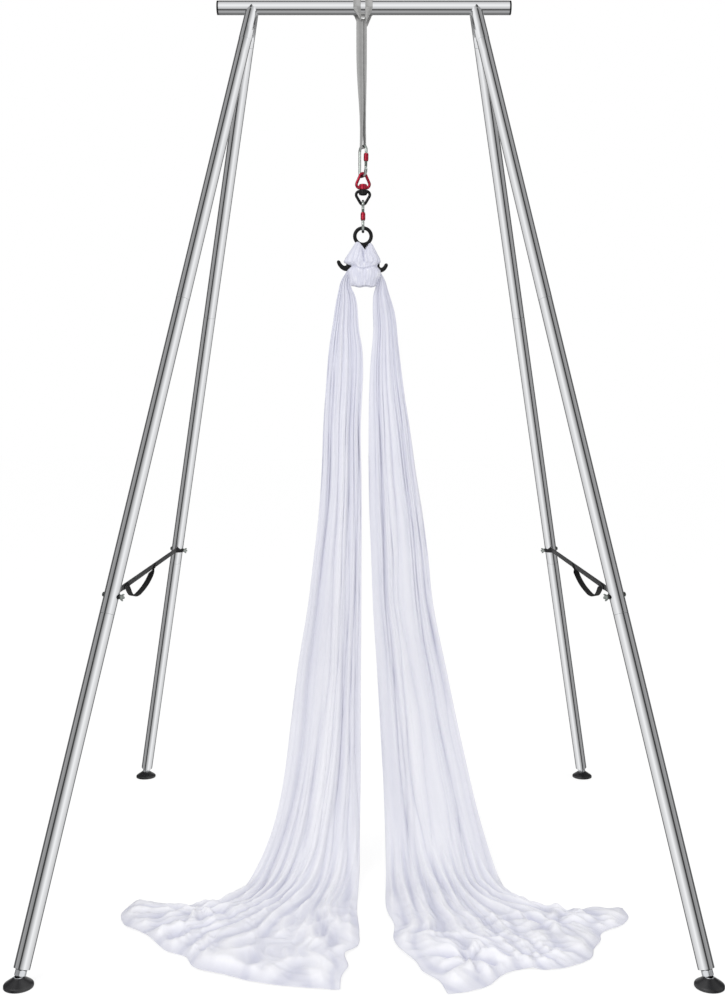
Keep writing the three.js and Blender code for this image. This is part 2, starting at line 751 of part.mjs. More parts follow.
function carabinerBody() {
  const { path, pivot, lean } = carabinerOutline;
  const atPivot = (geometry) => geometry.rotateY(lean).translate(pivot.x, pivot.y, pivot.z);
  const rod = loft(path.map((point) => rodSection(point, carabinerRod)));
  const knuckle = atPivot(alongY(bar(carabinerRod, -carabinerRod, carabinerRod, 2 * rodSides)));
  const slotWidth = 2 * (tongueHalfWidth + pivotGap);
  const slotFoot = -(tongueRadius + pivotGap);
  const slotHead = carabinerRod + overrun;
  const slot = atPivot(new THREE.BoxGeometry(2 * (carabinerRod + overrun), slotWidth, slotHead - slotFoot)
    .translate(0, 0, (slotHead + slotFoot) / 2));
  const rivet = atPivot(alongY(bar(rivetRadius, -carabinerRod + seatGap, carabinerRod - seatGap, rodSides)));
  return fromSolid(cut(joined([rod, knuckle]), [slot]).add(toSolid(rivet)));
}

// The gate stands on its pivot and points up at the nose.
function carabinerGate() {
  const foot = carabinerRod + pivotGap;
  const head = carabinerOutline.gateLength - pivotGap;
  const stem = revolve([
    [0, foot], [gateRadius, foot], [gateRadius, gateThreadStart], [gateThreadRadius, gateThreadStart],
    [gateThreadRadius, gateThreadEnd], [gateRadius, gateThreadEnd], [gateRadius, head], [0, head],
  ], 2 * rodSides);
  const disc = alongY(bar(tongueRadius, -tongueHalfWidth, tongueHalfWidth, 2 * rodSides));
  const web = new THREE.BoxGeometry(2 * tongueRadius, 2 * tongueHalfWidth, foot + rivetRadius)
    .translate(0, 0, (foot + rivetRadius) / 2);
  const hole = alongY(bar(rivetRadius + seatGap, -carabinerRod, carabinerRod, rodSides));
  return fromSolid(cut(joined([stem, disc, web]), [hole]));
}

function carabinerSleeve() {
  const shoulder = sleeveRadius - sleeveChamfer;
  return revolve([
    [sleeveBore, 0], [shoulder, 0], [sleeveRadius, sleeveChamfer],
    [sleeveRadius, sleeveLength - sleeveChamfer], [shoulder, sleeveLength], [sleeveBore, sleeveLength],
  ], 2 * rodSides);
}

function carabiner(name, height, sleeveHeight) {
  const { pivot, lean } = carabinerOutline;
  const group = new THREE.Group();
  group.position.set(riggingX, 0, height);
  const gate = new THREE.Group();
  gate.position.copy(pivot);
  gate.rotation.y = lean;
  const sleeve = piece(`${name}_sleeve`, carabinerSleeve(), redAnodised);
  sleeve.position.z = sleeveHeight - sleeveLength / 2 - pivot.z;
  gate.add(piece(`${name}_gate`, carabinerGate(), forgedSteel), sleeve);
  group.add(piece(`${name}_body`, carabinerBody(), forgedSteel), gate);
  return group;
}

// Heights where one ring of the rigging hangs in the next
const upperCarabinerHeight = crossbarHeight - slingDrop;
const upperCarabinerFoot = upperCarabinerHeight - carabinerLength / 2 + carabinerRod;
const redApexHeight = upperCarabinerFoot + carabinerRod + eyeRod + pivotGap;
const swivelSplit = redApexHeight - redEyeLength;
const blackApexHeight = swivelSplit - blackEyeLength;
const lowerCarabinerTop = blackApexHeight + carabinerRod + eyeRod + pivotGap;
const lowerCarabinerHeight = lowerCarabinerTop - carabinerLength / 2 + carabinerRod;
const lowerCarabinerFoot = lowerCarabinerHeight - carabinerLength / 2 + carabinerRod;
const smallRingHeight = lowerCarabinerFoot + carabinerRod + figureRod + pivotGap - smallRingRadius;
const bigRingCentre = smallRingHeight - ringSpacing;
const hitchBottom = bigRingCentre - hitchBelowRing;

// An eye of the swivel about the split between the two, with its boss at the split and its apex away
// from it.
function swivelEye(apex, arc, spacing, bossHeight, bores) {
  const foot = eyeRod + seatGap / 2;
  const circles = [
    { x: -spacing / 2, z: foot + arc, r: arc },
    { x: spacing / 2, z: foot + arc, r: arc },
    { x: 0, z: apex - eyeApexArc, r: eyeApexArc },
  ];
  const ring = loft(belt(circles).flat().map((point) => rodSection(point, eyeRod)), { closed: true });
  const boss = bar(bossRadius, seatGap / 2, bossHeight, 2 * rodSides);
  return fromSolid(cut(joined([ring, boss]), bores));
}

function swivel() {
  const bore = axleRadius + axleBoreGap;
  const headSeat = axleGrip - bearingHeight - 2 * seatGap;
  const through = bar(bore, -overrun, redBossHeight + overrun, smallSides);
  const pocket = bar(axleHeadRadius + axleBoreGap, headSeat, redBossHeight + overrun, smallSides);
  const upper = swivelEye(redApexHeight - swivelSplit, redShoulderArc, redShoulderSpacing, redBossHeight,
    [through, pocket]);
  const blind = bar(axleRadius + seatGap, -overrun, axleSeatDepth, smallSides);
  const lower = swivelEye(swivelSplit - blackApexHeight, blackShoulderArc, blackShoulderSpacing,
    blackBossHeight, [blind]);
  const axle = revolve([
    [0, seatGap - axleSeatDepth], [axleRadius, seatGap - axleSeatDepth], [axleRadius, axleGrip],
    [axleHeadRadius, axleGrip], [axleHeadRadius, axleGrip + axleHeadHeight], [0, axleGrip + axleHeadHeight],
  ], smallSides);
  const bearing = revolve([
    [bore, headSeat + seatGap], [axleHeadRadius, headSeat + seatGap],
    [axleHeadRadius, headSeat + seatGap + bearingHeight], [bore, headSeat + seatGap + bearingHeight],
  ], smallSides);
  const group = new THREE.Group();
  group.position.set(riggingX, 0, swivelSplit);
  const blackEye = piece('swivel_lower_eye', lower, blackAnodised);
  blackEye.rotation.y = Math.PI;
  group.add(piece('swivel_upper_eye', upper, redAnodised), blackEye);
  group.add(piece('swivel_axle', axle, zincSteel), piece('swivel_bearing', bearing, zincSteel));
  return group;
}

// The figure-eight about its big ring's centre: two rings, a waisted neck and two ears that dip and
// turn up. grow thickens it for cutting its place in the silk.
function figureEight(grow) {
  const rod = figureRod + grow;
  const ringSection = (x, z, angle) => rodSection({ x, z, angle }, rod);
  const around = (steps, width, height, centre) => loft(range(steps).map((i) => {
    const a = (i / steps) * 2 * Math.PI;
    const [x, z] = [width * Math.cos(a), height * Math.sin(a)];
    return ringSection(x, centre + z, Math.atan2(z * width * width, x * height * height));
  }), { closed: true });
  const small = around(smallRingSteps, smallRingRadius, smallRingRadius, ringSpacing);
  const big = around(bigRingSteps, bigRingWidth / 2, bigRingHeight / 2, 0);
  const neckFoot = bigRingHeight / 2;
  const neckHead = ringSpacing - smallRingRadius;
  const neck = loft(range(neckSteps + 1).map((i) => {
    const t = i / neckSteps;
    const half = mix(neckWidth, neckWaist, Math.sin(Math.PI * t)) / 2 + grow;
    return range(rodSides).map((j) => {
      const a = (j / rodSides) * 2 * Math.PI;
      return v3(half * Math.cos(a), rod * Math.sin(a), mix(neckFoot, neckHead, t));
    });
  }));
  const ears = [-1, 1].map((side) => {
    const curve = new THREE.QuadraticBezierCurve3(
      v3(side * earRoot, 0, 0), v3(side * earReach, 0, -earDip - earRise), v3(side * earReach, 0, earRise));
    return loft(range(earSteps + 1).map((i) => {
      const t = i / earSteps;
      const [p, along] = [curve.getPoint(t), curve.getTangent(t)];
      const radius = mix(earRootRod, earTipRod, t) * (i === earSteps ? earTipShare : 1) + grow;
      return rodSection({ x: p.x, z: p.z, angle: Math.atan2(-along.x, along.z) }, radius);
    }));
  });
  return joined([small, big, neck, ...ears]);
}

// The hitch: a collar round the neck with a V opening in front and behind, a crease, and a lower band
// that widens to the shoulders where the tails leave it.
function silkHitch() {
  const squared = (value) => Math.sign(value) * Math.abs(value) ** hitchSquareness;
  const rings = hitchLevelShares.map(([heightShare, widthShare, depthShare], level) => {
    const opening = hitchNotchShares[hitchLevelShares.length - 1 - level] ?? 0;
    return range(hitchPoints).map((j) => {
      const a = (j / hitchPoints) * 2 * Math.PI;
      const pleat = j % 2 ? hitchPleat : 0;
      const x = squared(Math.cos(a)) * (widthShare * hitchWidth / 2 - pleat);
      const y = squared(Math.sin(a)) * (depthShare * hitchDepth / 2 - pleat);
      const notch = Math.max(0, 1 - Math.abs(x) / (hitchNotchWidth / 2)) * opening * hitchNotch;
      return v3(x, y, heightShare * hitchHeight - notch);
    });
  });
  const blank = toSolid(loft(rings, { capShift: v3(0, 0, -hitchNotch) }));
  const inside = figureEight(pivotGap).translate([0, 0, bigRingCentre - hitchBottom]);
  const mesh = piece('silk_hitch', fromSolid(blank.subtract(inside)), whiteSilk);
  mesh.position.set(riggingX, 0, hitchBottom);
  return mesh;
}

// A silk tail: threads run down from the hitch, meet the floor and fan out over it to the hem. Folds are
// a wave across the threads, and the cloth's thickness is laid off along one direction for each row.
function silkTail(name, tail) {
  const columns = 4 * silkFolds + 1;
  const half = silkThickness / 2;
  const top = hitchBottom - seatGap;
  const wave = (j) => Math.sin((j * Math.PI) / 2);
  const foldRise = (j, height) => height * (0.5 + 0.5 * wave(j));
  const hanging = tail.levelShares.map(([heightShare, innerShare, outerShare]) => {
    const z = heightShare * top;
    const forwardShare = Math.max(0, 1 - z / silkBendHeight) ** 2;
    const depth = mix(topFoldDepth, hangFoldDepth, Math.min(1, 2 * (1 - heightShare)));
    const pitch = forwardShare * silkHangPitch;
    return {
      offset: v3(0, -Math.cos(pitch), Math.sin(pitch)),
      points: range(columns).map((j) => {
        const u = j / (columns - 1);
        const inner = mix(tail.top.inner, tail.floor.inner, innerShare);
        const outer = mix(tail.top.outer, tail.floor.outer, outerShare);
        const forward = mix(tail.floor.innerForward, tail.floor.outerForward, u) * forwardShare;
        return v3(tail.side * mix(inner, outer, u), -forward + depth * wave(j), z);
      }),
    };
  });
  const pooling = poolRowShares.map((w, k) => ({
    offset: k === 0 ? v3(0, -Math.cos(silkFloorPitch), Math.sin(silkFloorPitch)) : v3(0, 0, 1),
    points: range(columns).map((j) => {
      const u = j / (columns - 1);
      const angle = mix(tail.hem.innerAngle, tail.hem.outerAngle, u);
      const radius = mix(tail.hem.innerRadius, tail.hem.outerRadius, u * u);
      const floorX = mix(tail.floor.inner, tail.floor.outer, u);
      const floorY = mix(tail.floor.innerForward, tail.floor.outerForward, u);
      const x = mix(floorX, radius * Math.sin(angle), w);
      const y = -mix(floorY, radius * Math.cos(angle), w);
      return v3(tail.side * x, y, silkLift + half + foldRise(j, mix(poolFoldHeight, hemFoldHeight, w)));
    }),
  }));
  return piece(name, clothSolid([...hanging, ...pooling], half), whiteSilk);
}

// A closed solid from rows of points: two faces laid off on both sides, and a rim round all four edges.
function clothSolid(rows, half) {
  const columns = rows[0].points.length;
  const faces = [1, -1].map((side) => rows.flatMap(({ points, offset }) => (
    points.map((p) => p.clone().addScaledVector(offset, side * half))
  )));
  const size = rows.length * columns;
  const index = [];
  const quad = (a, b, c, d) => index.push(a, b, c, a, c, d);
  for (let k = 0; k < rows.length - 1; k += 1) {
    for (let j = 0; j < columns - 1; j += 1) {
      const a = k * columns + j;
      quad(a, a + columns, a + columns + 1, a + 1);
      quad(size + a, size + a + 1, size + a + columns + 1, size + a + columns);
    }
  }
  const last = (rows.length - 1) * columns;
  for (let j = 0; j < columns - 1; j += 1) {
    quad(j, j + 1, size + j + 1, size + j);
    quad(last + j + 1, last + j, size + last + j, size + last + j + 1);
  }
  for (let k = 0; k < rows.length - 1; k += 1) {
    const a = k * columns;
    quad(a + columns, a, size + a, size + a + columns);
    const b = a + columns - 1;
    quad(b, b + columns, size + b + columns, size + b);
  }
  const geometry = new THREE.BufferGeometry().setFromPoints(faces.flat());
  geometry.setIndex(index);
  return weld(geometry);
}

const rig = new THREE.Group();
rig.add(crossbar());
legs.forEach((place) => rig.add(...leg(place)));
rig.add(sideStrap('side_strap_left', legs[0], legs[2]));
rig.add(sideStrap('side_strap_right', legs[1], legs[3]));
rig.add(sling());
const upperCarabiner = carabiner('upper_carabiner', upperCarabinerHeight, upperSleeveHeight);
upperCarabiner.rotation.z = -upperCarabinerTurn;
rig.add(upperCarabiner);
rig.add(swivel());
const lowerCarabiner = carabiner('lower_carabiner', lowerCarabinerHeight, lowerSleeveHeight);
lowerCarabiner.rotation.set(Math.PI, 0, -Math.PI / 2, 'ZXY');
rig.add(lowerCarabiner);
const eight = piece('figure_eight', fromSolid(figureEight(0)), blackAnodised);
eight.position.set(riggingX, 0, bigRingCentre);
rig.add(eight);
rig.add(silkHitch());
rig.add(silkTail('silk_tail_left', silkTails.left));
rig.add(silkTail('silk_tail_right', silkTails.right));
rig.updateMatrixWorld(true);

export default rig;
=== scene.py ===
"""Looks of a free-standing aerial rig: chromed tube frame, webbing, steel and anodised rigging, white silk.

The file has the layout of a Blender add-on and is run as a script. Lengths are in metres.
X runs along the crossbar, the front is -Y and the floor is Z = 0.
"""

import json
from math import pi

import bpy
import numpy as np
from bpy.props import FloatProperty, FloatVectorProperty, PointerProperty
from bpy.types import Operator, Panel, PropertyGroup
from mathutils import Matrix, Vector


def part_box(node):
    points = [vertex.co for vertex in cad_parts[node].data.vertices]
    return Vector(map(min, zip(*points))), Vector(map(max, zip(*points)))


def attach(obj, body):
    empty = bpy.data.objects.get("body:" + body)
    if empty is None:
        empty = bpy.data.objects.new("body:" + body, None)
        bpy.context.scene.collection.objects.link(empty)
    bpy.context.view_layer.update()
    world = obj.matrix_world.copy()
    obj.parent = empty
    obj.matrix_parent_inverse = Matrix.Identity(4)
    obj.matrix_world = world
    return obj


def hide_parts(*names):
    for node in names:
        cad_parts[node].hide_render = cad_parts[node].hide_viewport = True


bl_info = {
    "name": "Aerial rig",
    "version": (1, 0, 0),
    "blender": (4, 5, 0),
    "location": "3D View > Sidebar > Rig",
    "description": "Builds the visible pieces of an aerial rig round its packed frame",
    "category": "Add Mesh",
}

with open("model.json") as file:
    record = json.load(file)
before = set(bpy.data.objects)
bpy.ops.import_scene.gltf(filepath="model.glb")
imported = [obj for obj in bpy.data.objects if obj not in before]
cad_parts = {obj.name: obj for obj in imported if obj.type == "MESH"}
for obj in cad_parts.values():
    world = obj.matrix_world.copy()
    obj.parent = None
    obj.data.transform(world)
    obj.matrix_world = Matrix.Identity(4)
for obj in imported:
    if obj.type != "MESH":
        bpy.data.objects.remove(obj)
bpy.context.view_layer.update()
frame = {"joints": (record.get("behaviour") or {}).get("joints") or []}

MM = 0.001
JOINTS = {joint["name"]: joint for joint in frame["joints"]}
CORNERS = [("front_left", -1, -1), ("front_right", 1, -1), ("rear_left", -1, 1), ("rear_right", 1, 1)]


def corners_of(node):
    """Lowest and highest corner of a node of the frame, as arrays."""
    low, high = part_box(node)
    return np.array(low), np.array(high)


# Sizes read from the frame
BAR_LOW, BAR_HIGH = corners_of("crossbar_tube")
BAR_RADIUS = (BAR_HIGH[2] - BAR_LOW[2]) / 2
BAR_AXIS = (BAR_HIGH[2] + BAR_LOW[2]) / 2
RIG_X = JOINTS["swivel_spin"]["pos_m"][0]
SPLIT = JOINTS["swivel_spin"]["pos_m"][2]

# The legs, from the crossbar's axis down
LEG_RADIUS = 22.5 * MM
TUBE_WALL = 2 * MM
SEAT_GAP = 0.3 * MM
SOCKET_LENGTH = 133 * MM
UPPER_LENGTH = 971 * MM
MIDDLE_LENGTH = 1007 * MM
STUD_REACH = 33 * MM
SPIGOT = 70 * MM
BOLT_ABOVE_SEAM = 55 * MM

# Turn of the sling's lower end and the upper carabiner from the crossbar's direction, in radians
CHAIN_TURN = 1.1


# Surfaces

def unit(v):
    """A vector, or each row of an array, at length one."""
    return v / np.linalg.norm(v, axis=-1, keepdims=True)


def mix(a, b, t):
    """Straight blend from a to b."""
    return a + (b - a) * t


def smooth(t):
    """Cubic ease from 0 to 1."""
    t = np.clip(t, 0, 1)
    return t * t * (3 - 2 * t)


def circle(sides, start=0.0):
    """Angles evenly spaced round a turn, the last left out."""
    return start + np.arange(sides) / sides * 2 * pi


def mm(*points):
    """Points in millimetres as an array in metres."""
    return np.array(points, float) * MM


def quads_of(a):
    """The four neighbours of a grid at each of its cells."""
    return np.stack([a[:-1, :-1], a[:-1, 1:], a[1:, 1:], a[1:, :-1]], 2)


def skin(rows, around=False, along=False, caps=False, reach=(1.0, 1.0)):
    """Quads between neighbouring rows of points, turned to face outwards.

    around joins the last column to the first and along the last row to the first. caps closes the first
    and last rows by a fan round their middle. UV runs from 0 to reach across the columns and the rows.
    """
    rows = np.asarray(rows, float)
    count = rows.shape[0] * rows.shape[1]
    ids = np.arange(count).reshape(rows.shape[:2])
    ids = np.hstack([ids, ids[:, :1]]) if around else ids
    ids = np.vstack([ids, ids[:1]]) if along else ids
    v, u = np.meshgrid(*(np.linspace(0, reach[1 - k], ids.shape[k]) for k in (0, 1)), indexing="ij")
    points = rows.reshape(-1, 3)
    faces = quads_of(ids).reshape(-1, 4)
    face_uv = quads_of(np.stack([u, v], -1)).reshape(-1, 4, 2)
    fans = np.zeros((0, 3), int)
    if caps:
        middles = rows[[0, -1]].mean(1)
        points = np.vstack([points, middles])
        first, last = ids[0], ids[-1]
        fans = np.vstack([
            np.stack([np.full(len(first) - 1, count), first[1:], first[:-1]], 1),
            np.stack([np.full(len(last) - 1, count + 1), last[:-1], last[1:]], 1),
        ])
    shell = (points, faces, face_uv, fans)
    return outwards(shell) if around or along else shell


def volume(shell):
    """Six times the signed volume: the sum of triple products of the triangles."""
    points, faces, _, fans = shell
    tris = np.vstack([faces[:, :3], faces[:, [0, 2, 3]], fans])
    a, b, c = (points[tris[:, k]] for k in range(3))
    return float(np.einsum("ij,ij->i", a, np.cross(b, c)).sum())


def outwards(shell):
    """The same shell, its faces turned over where they look inwards."""
    points, faces, face_uv, fans = shell
    return (points, faces[:, ::-1], face_uv[:, ::-1], fans[:, ::-1]) if volume(shell) < 0 else shell


def put(points, place):
    """Points given in a place's own axes: its origin plus each coordinate along its axis."""
    return place[0] + np.asarray(points, float) @ place[1:]


def place_at(origin, x=(1, 0, 0), y=(0, 1, 0), z=(0, 0, 1)):
    """A place: an origin and three axes as the rows of a 4 by 3 array."""
    return np.array([origin, x, y, z], float)


def moved(place, x=0.0, y=0.0, z=0.0):
    """The same axes with the origin moved along them."""
    return np.vstack([put([x, y, z], place), place[1:]])


def upright(place):
    """The same place with its second and third axes swapped, for prisms seen from the front."""
    return place[[0, 1, 3, 2]]


def along_x(place):
    """The same place with its third axis where the first was, for pieces turned about X."""
    return np.array([place[0], -place[3], place[2], place[1]])


def fillet(outline, radius, closed=False, steps=3):
    """Rounds the corners of an outline: each becomes a quadratic curve between points one radius away."""
    points = np.asarray(outline, float)
    before = np.roll(points, 1, 0) if closed else points[:-2]
    after = np.roll(points, -1, 0) if closed else points[2:]
    middle = points if closed else points[1:-1]
    back, ahead = before - middle, after - middle
    reach = [np.minimum(radius, 0.45 * np.linalg.norm(side, axis=1))[:, None] for side in (back, ahead)]
    start, end = middle + unit(back) * reach[0], middle + unit(ahead) * reach[1]
    t = np.linspace(0, 1, steps + 1)[None, :, None]
    curve = (1 - t) ** 2 * start[:, None] + 2 * t * (1 - t) * middle[:, None] + t ** 2 * end[:, None]
    curve = curve.reshape(-1, points.shape[1])
    return curve if closed else np.vstack([points[:1], curve, points[-1:]])


def lathe(profile, place, sides, hollow=False, edge=0.0, ripple=None):
    """A profile of (radius, height) turned about the place's third axis; ripple adds to radii by angle."""
    profile = fillet(profile, edge, closed=hollow) if edge else np.asarray(profile, float)
    a = circle(sides)
    radius = profile[:, :1] * np.ones(sides)
    if ripple is not None:
        radius = radius + ripple(profile[:, 1:], a[None])
    height = profile[:, 1:] * np.ones(sides)
    rows = np.stack([radius * np.cos(a), radius * np.sin(a), height], -1)
    reach = (2 * pi * profile[:, 0].max(), travel(profile)[-1])
    return skin(put(rows, place), around=True, along=hollow, caps=not hollow, reach=reach)


def travel(path):
    """Distance along a path to each of its points."""
    return np.concatenate([[0], np.cumsum(np.linalg.norm(np.diff(path, axis=0), axis=1))])


def sweep(path, side, up, outline, closed=False):
    """An outline of (side, up) offsets carried along a path; it may differ from point to point."""
    outline = np.broadcast_to(outline, (len(path),) + np.shape(outline)[-2:])
    side, up = (np.broadcast_to(v, path.shape)[:, None] for v in (side, up))
    rows = path[:, None] + outline[..., :1] * side + outline[..., 1:] * up
    reach = (travel(outline[0])[-1], travel(path)[-1])
    return skin(rows, around=True, along=closed, caps=not closed, reach=reach)


def round_outline(sides):
    """A circle of offsets of radius one."""
    a = circle(sides)
    return np.stack([np.cos(a), np.sin(a)], -1)


def web_outline(width, thickness, steps=3):
    """A flat band's section: a rectangle whose edges are half circles nearly as thick as the band."""
    corner = 0.45 * thickness
    a = np.concatenate([np.linspace(q * pi / 2, (q + 1) * pi / 2, steps + 1) for q in range(4)])
    cx = np.repeat([1, -1, -1, 1], steps + 1) * (np.asarray(width)[..., None] / 2 - corner)
    cy = np.repeat([1, 1, -1, -1], steps + 1) * (thickness / 2 - corner)
    cx, cy = np.broadcast_arrays(cx, cy)
    return np.stack([cx + corner * np.cos(a), cy + corner * np.sin(a)], -1)


def prism(outline, place, depth, edge):
    """A flat outline with bevelled rims, between minus and plus half its depth along the third axis."""
    outline = np.asarray(outline, float)
    middle = outline.mean(0)
    shrink = middle + (outline - middle) * (1 - edge / np.abs(outline - middle).max())
    levels = [(shrink, -depth / 2), (outline, edge - depth / 2), (outline, depth / 2 - edge),
              (shrink, depth / 2)]
    rows = np.stack([np.column_stack([flat, np.full(len(flat), h)]) for flat, h in levels])
    return skin(put(rows, place), around=True, caps=True)


def through(stations, values, at):
    """A smooth curve through values at rising stations: cubic Hermite pieces with averaged slopes."""
    s, v = np.asarray(stations, float), np.asarray(values, float)
    v = v.reshape(len(s), -1)
    slope = np.gradient(v, s, axis=0)
    k = np.clip(np.searchsorted(s, at, side="right") - 1, 0, len(s) - 2)
    width = (s[k + 1] - s[k])[:, None]
    t = ((at - s[k])[:, None]) / width
    h = [2 * t**3 - 3 * t**2 + 1, t**3 - 2 * t**2 + t, -2 * t**3 + 3 * t**2, t**3 - t**2]
    return np.squeeze(h[0] * v[k] + h[1] * width * slope[k] + h[2] * v[k + 1] + h[3] * width * slope[k + 1])


def make_piece(name, shells, key, nodes=(), body="frame", sharp=0.6):
    """Joins shells into one mesh object with UVs and smooth shading, and ties it to the frame.

    key names its finish, which the mesh takes.
    """
    points, quads, quad_uv, tris, start = [], [], [], [], 0
    for shell in shells:
        points.append(shell[0])
        quads.append(shell[1] + start)
        quad_uv.append(shell[2])
        tris.append(shell[3] + start)
        start += len(shell[0])
    points, quads, tris = np.vstack(points), np.vstack(quads), np.vstack(tris)
    uv = np.vstack([np.vstack(quad_uv).reshape(-1, 2), np.zeros((tris.size, 2))])
    mesh = bpy.data.meshes.new(name)
    mesh.from_pydata(points, [], quads.tolist() + tris.tolist())
    mesh.uv_layers.new(name="UVMap").data.foreach_set("uv", uv.ravel())
    mesh.polygons.foreach_set("use_smooth", np.ones(len(mesh.polygons), bool))
    mesh.set_sharp_from_angle(angle=sharp)
    mesh.materials.append(finish(key))
    mesh.update()
    piece = bpy.data.objects.new(name, mesh)
    bpy.context.scene.collection.objects.link(piece)
    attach(piece, body)
    if nodes:
        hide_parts(*nodes)
    if key == "chrome":
        mirror_only(piece)
    return piece


def weld_smooth(piece, voxel, rounds):
    """Melts overlapping forms into one forged skin: a voxel remesh, then rounds of smoothing."""
    melt = piece.modifiers.new("Forging", "REMESH")
    melt.mode = "VOXEL"
    melt.voxel_size = voxel
    melt.use_smooth_shade = True
    ease = piece.modifiers.new("Fettling", "SMOOTH")
    ease.factor = 0.5
    ease.iterations = rounds


# Finishes

def linear(code):
    """An sRGB hex colour as linear red, green, blue."""
    srgb = np.array([int(code[k:k + 2], 16) for k in (1, 3, 5)]) / 255
    return tuple(np.where(srgb <= 0.04045, srgb / 12.92, ((srgb + 0.055) / 1.055) ** 2.4))


def rgba(colour):
    """A colour with full alpha."""
    return (*colour, 1.0)


def scaled(colour, factor):
    """A colour made darker or lighter by a factor, at most white."""
    return tuple(min(1.0, channel * factor) for channel in colour)


def node(tree, kind, settings=None, values=None, links=None):
    """Adds one node, with its settings, the values of its inputs and the sockets linked into them."""
    made = tree.nodes.new(kind)
    for key, value in (settings or {}).items():
        setattr(made, key, value)
    for key, value in (values or {}).items():
        made.inputs[key].default_value = value
    for key, socket in (links or {}).items():
        tree.links.new(socket, made.inputs[key])
    return made


def start_finish(name, **values):
    """A material with a Principled shader whose plain values are given by their socket names."""
    made = bpy.data.materials.new(name)
    made.use_nodes = True
    tree = made.node_tree
    shader = tree.nodes["Principled BSDF"]
    for key, value in values.items():
        shader.inputs[key.replace("_", " ")].default_value = value
    return made, tree, shader


def blotches(tree, vector, scale, low, high, detail=3.0):
    """Noise of a size given in patches per metre, spread between two values."""
    noise = node(tree, "ShaderNodeTexNoise", values={"Scale": scale, "Detail": detail},
                 links={"Vector": vector})
    return node(tree, "ShaderNodeMapRange", values={"To Min": low, "To Max": high},
                links={"Value": noise.outputs["Fac"]}).outputs["Result"]


def tint(tree, factor, dark, light):
    """Two colours mixed by a factor."""
    made = node(tree, "ShaderNodeMix", settings={"data_type": "RGBA"}, links={"Factor": factor})
    made.inputs[6].default_value = rgba(dark)
    made.inputs[7].default_value = rgba(light)
    return made.outputs[2]


def bump(tree, shader, height, distance):
    """Bump from a height in its own units times a distance in metres."""
    made = node(tree, "ShaderNodeBump", values={"Distance": distance, "Strength": 1.0},
                links={"Height": height})
    tree.links.new(made.outputs["Normal"], shader.inputs["Normal"])


def object_space(tree):
    """The object's own coordinates, in metres, which are the rig's."""
    return node(tree, "ShaderNodeTexCoord").outputs["Object"]


def bands(tree, direction, scale, distortion):
    """Waves across the piece's UV map, which is in metres."""
    vector = node(tree, "ShaderNodeTexCoord").outputs["UV"]
    return node(tree, "ShaderNodeTexWave", settings={"wave_type": "BANDS", "bands_direction": direction},
                values={"Scale": scale, "Distortion": distortion}, links={"Vector": vector}).outputs["Fac"]


def solid_finish(colours, name, colour, rough, patches, grain, depth, detail=1.0, marks=None, paler=1.0,
                 **values):
    """Blotchy roughness for handling marks, and a fine bump for the surface left by its making.

    patches, grain and marks count per metre. With marks, the colour turns paler by a factor in patches.
    """
    base = getattr(colours, colour)
    made, tree, shader = start_finish(name, Base_Color=rgba(base), **values)
    space = object_space(tree)
    if marks:
        where = blotches(tree, space, marks, 0.0, 1.0)
        tree.links.new(tint(tree, where, base, scaled(base, paler)), shader.inputs["Base Color"])
    tree.links.new(blotches(tree, space, patches, *rough), shader.inputs["Roughness"])
    bump(tree, shader, blotches(tree, space, grain, 0.0, 1.0, detail=detail), depth)
    return made


SOLID_FINISHES = {
    # Chrome on drawn steel tube: a mirror with faint smears, and long waves left by polishing
    "chrome": dict(name="chromed steel tube", colour="chrome", Metallic=1.0, rough=(0.035, 0.075),
                   patches=1 / 0.09, grain=1 / 0.03, depth=4e-6),
    # Zinc plate on bolts, nuts and studs: bright, slightly clouded
    "zinc": dict(name="zinc-plated steel", colour="zinc", Metallic=1.0, rough=(0.16, 0.3), patches=250,
                 grain=2500, depth=4e-6),
    # Polished forged steel of the carabiners: bright with soft rings of wear
    "forged": dict(name="polished forged steel", colour="forged", Metallic=1.0, rough=(0.12, 0.26),
                   patches=125, grain=1 / 0.0012, depth=1e-5),
    # Anodised aluminium: a coloured metal under a thin clear oxide that gives a second, sharper glint
    "red": dict(name="red anodised aluminium", colour="red_anodise", Metallic=1.0, rough=(0.26, 0.4),
                patches=1 / 0.006, grain=1 / 0.0006, depth=4e-6, Coat_Weight=0.35, Coat_Roughness=0.15),
    # Black dye hides the metal: nearly a dielectric, semi-gloss, paler where handling polishes it
    "black": dict(name="black anodised aluminium", colour="black_anodise", rough=(0.22, 0.34), patches=160,
                  grain=1600, depth=6e-6, marks=90, paler=1.7, Specular_IOR_Level=0.13, Coat_Weight=0.05,
                  Coat_Roughness=0.18),
    # Injection-moulded black nylon: spark-eroded texture of 0.3 mm, drawn at 0.8 mm to show, soft highlight
    "plastic": dict(name="moulded black nylon", colour="plastic", rough=(0.32, 0.46), patches=300,
                    grain=1250, depth=3e-5, Specular_IOR_Level=0.25),
    # Moulded rubber with a waxy bloom: glossy black that greys in patches
    "rubber": dict(name="moulded black rubber", colour="rubber", rough=(0.28, 0.42), patches=120, grain=900,
                   depth=2e-5, detail=2.0, marks=70, paler=2.0, IOR=1.52, Coat_Weight=0.25,
                   Coat_Roughness=0.2),
    # Bonded polyester sewing thread: a tight twist with a waxed shine
    "dark_thread": dict(name="black bonded thread", colour="hand_loop", rough=(0.42, 0.6), patches=800,
                        grain=2500, depth=5e-5, marks=1500, paler=1.8, IOR=1.57, Sheen_Weight=0.2),
}


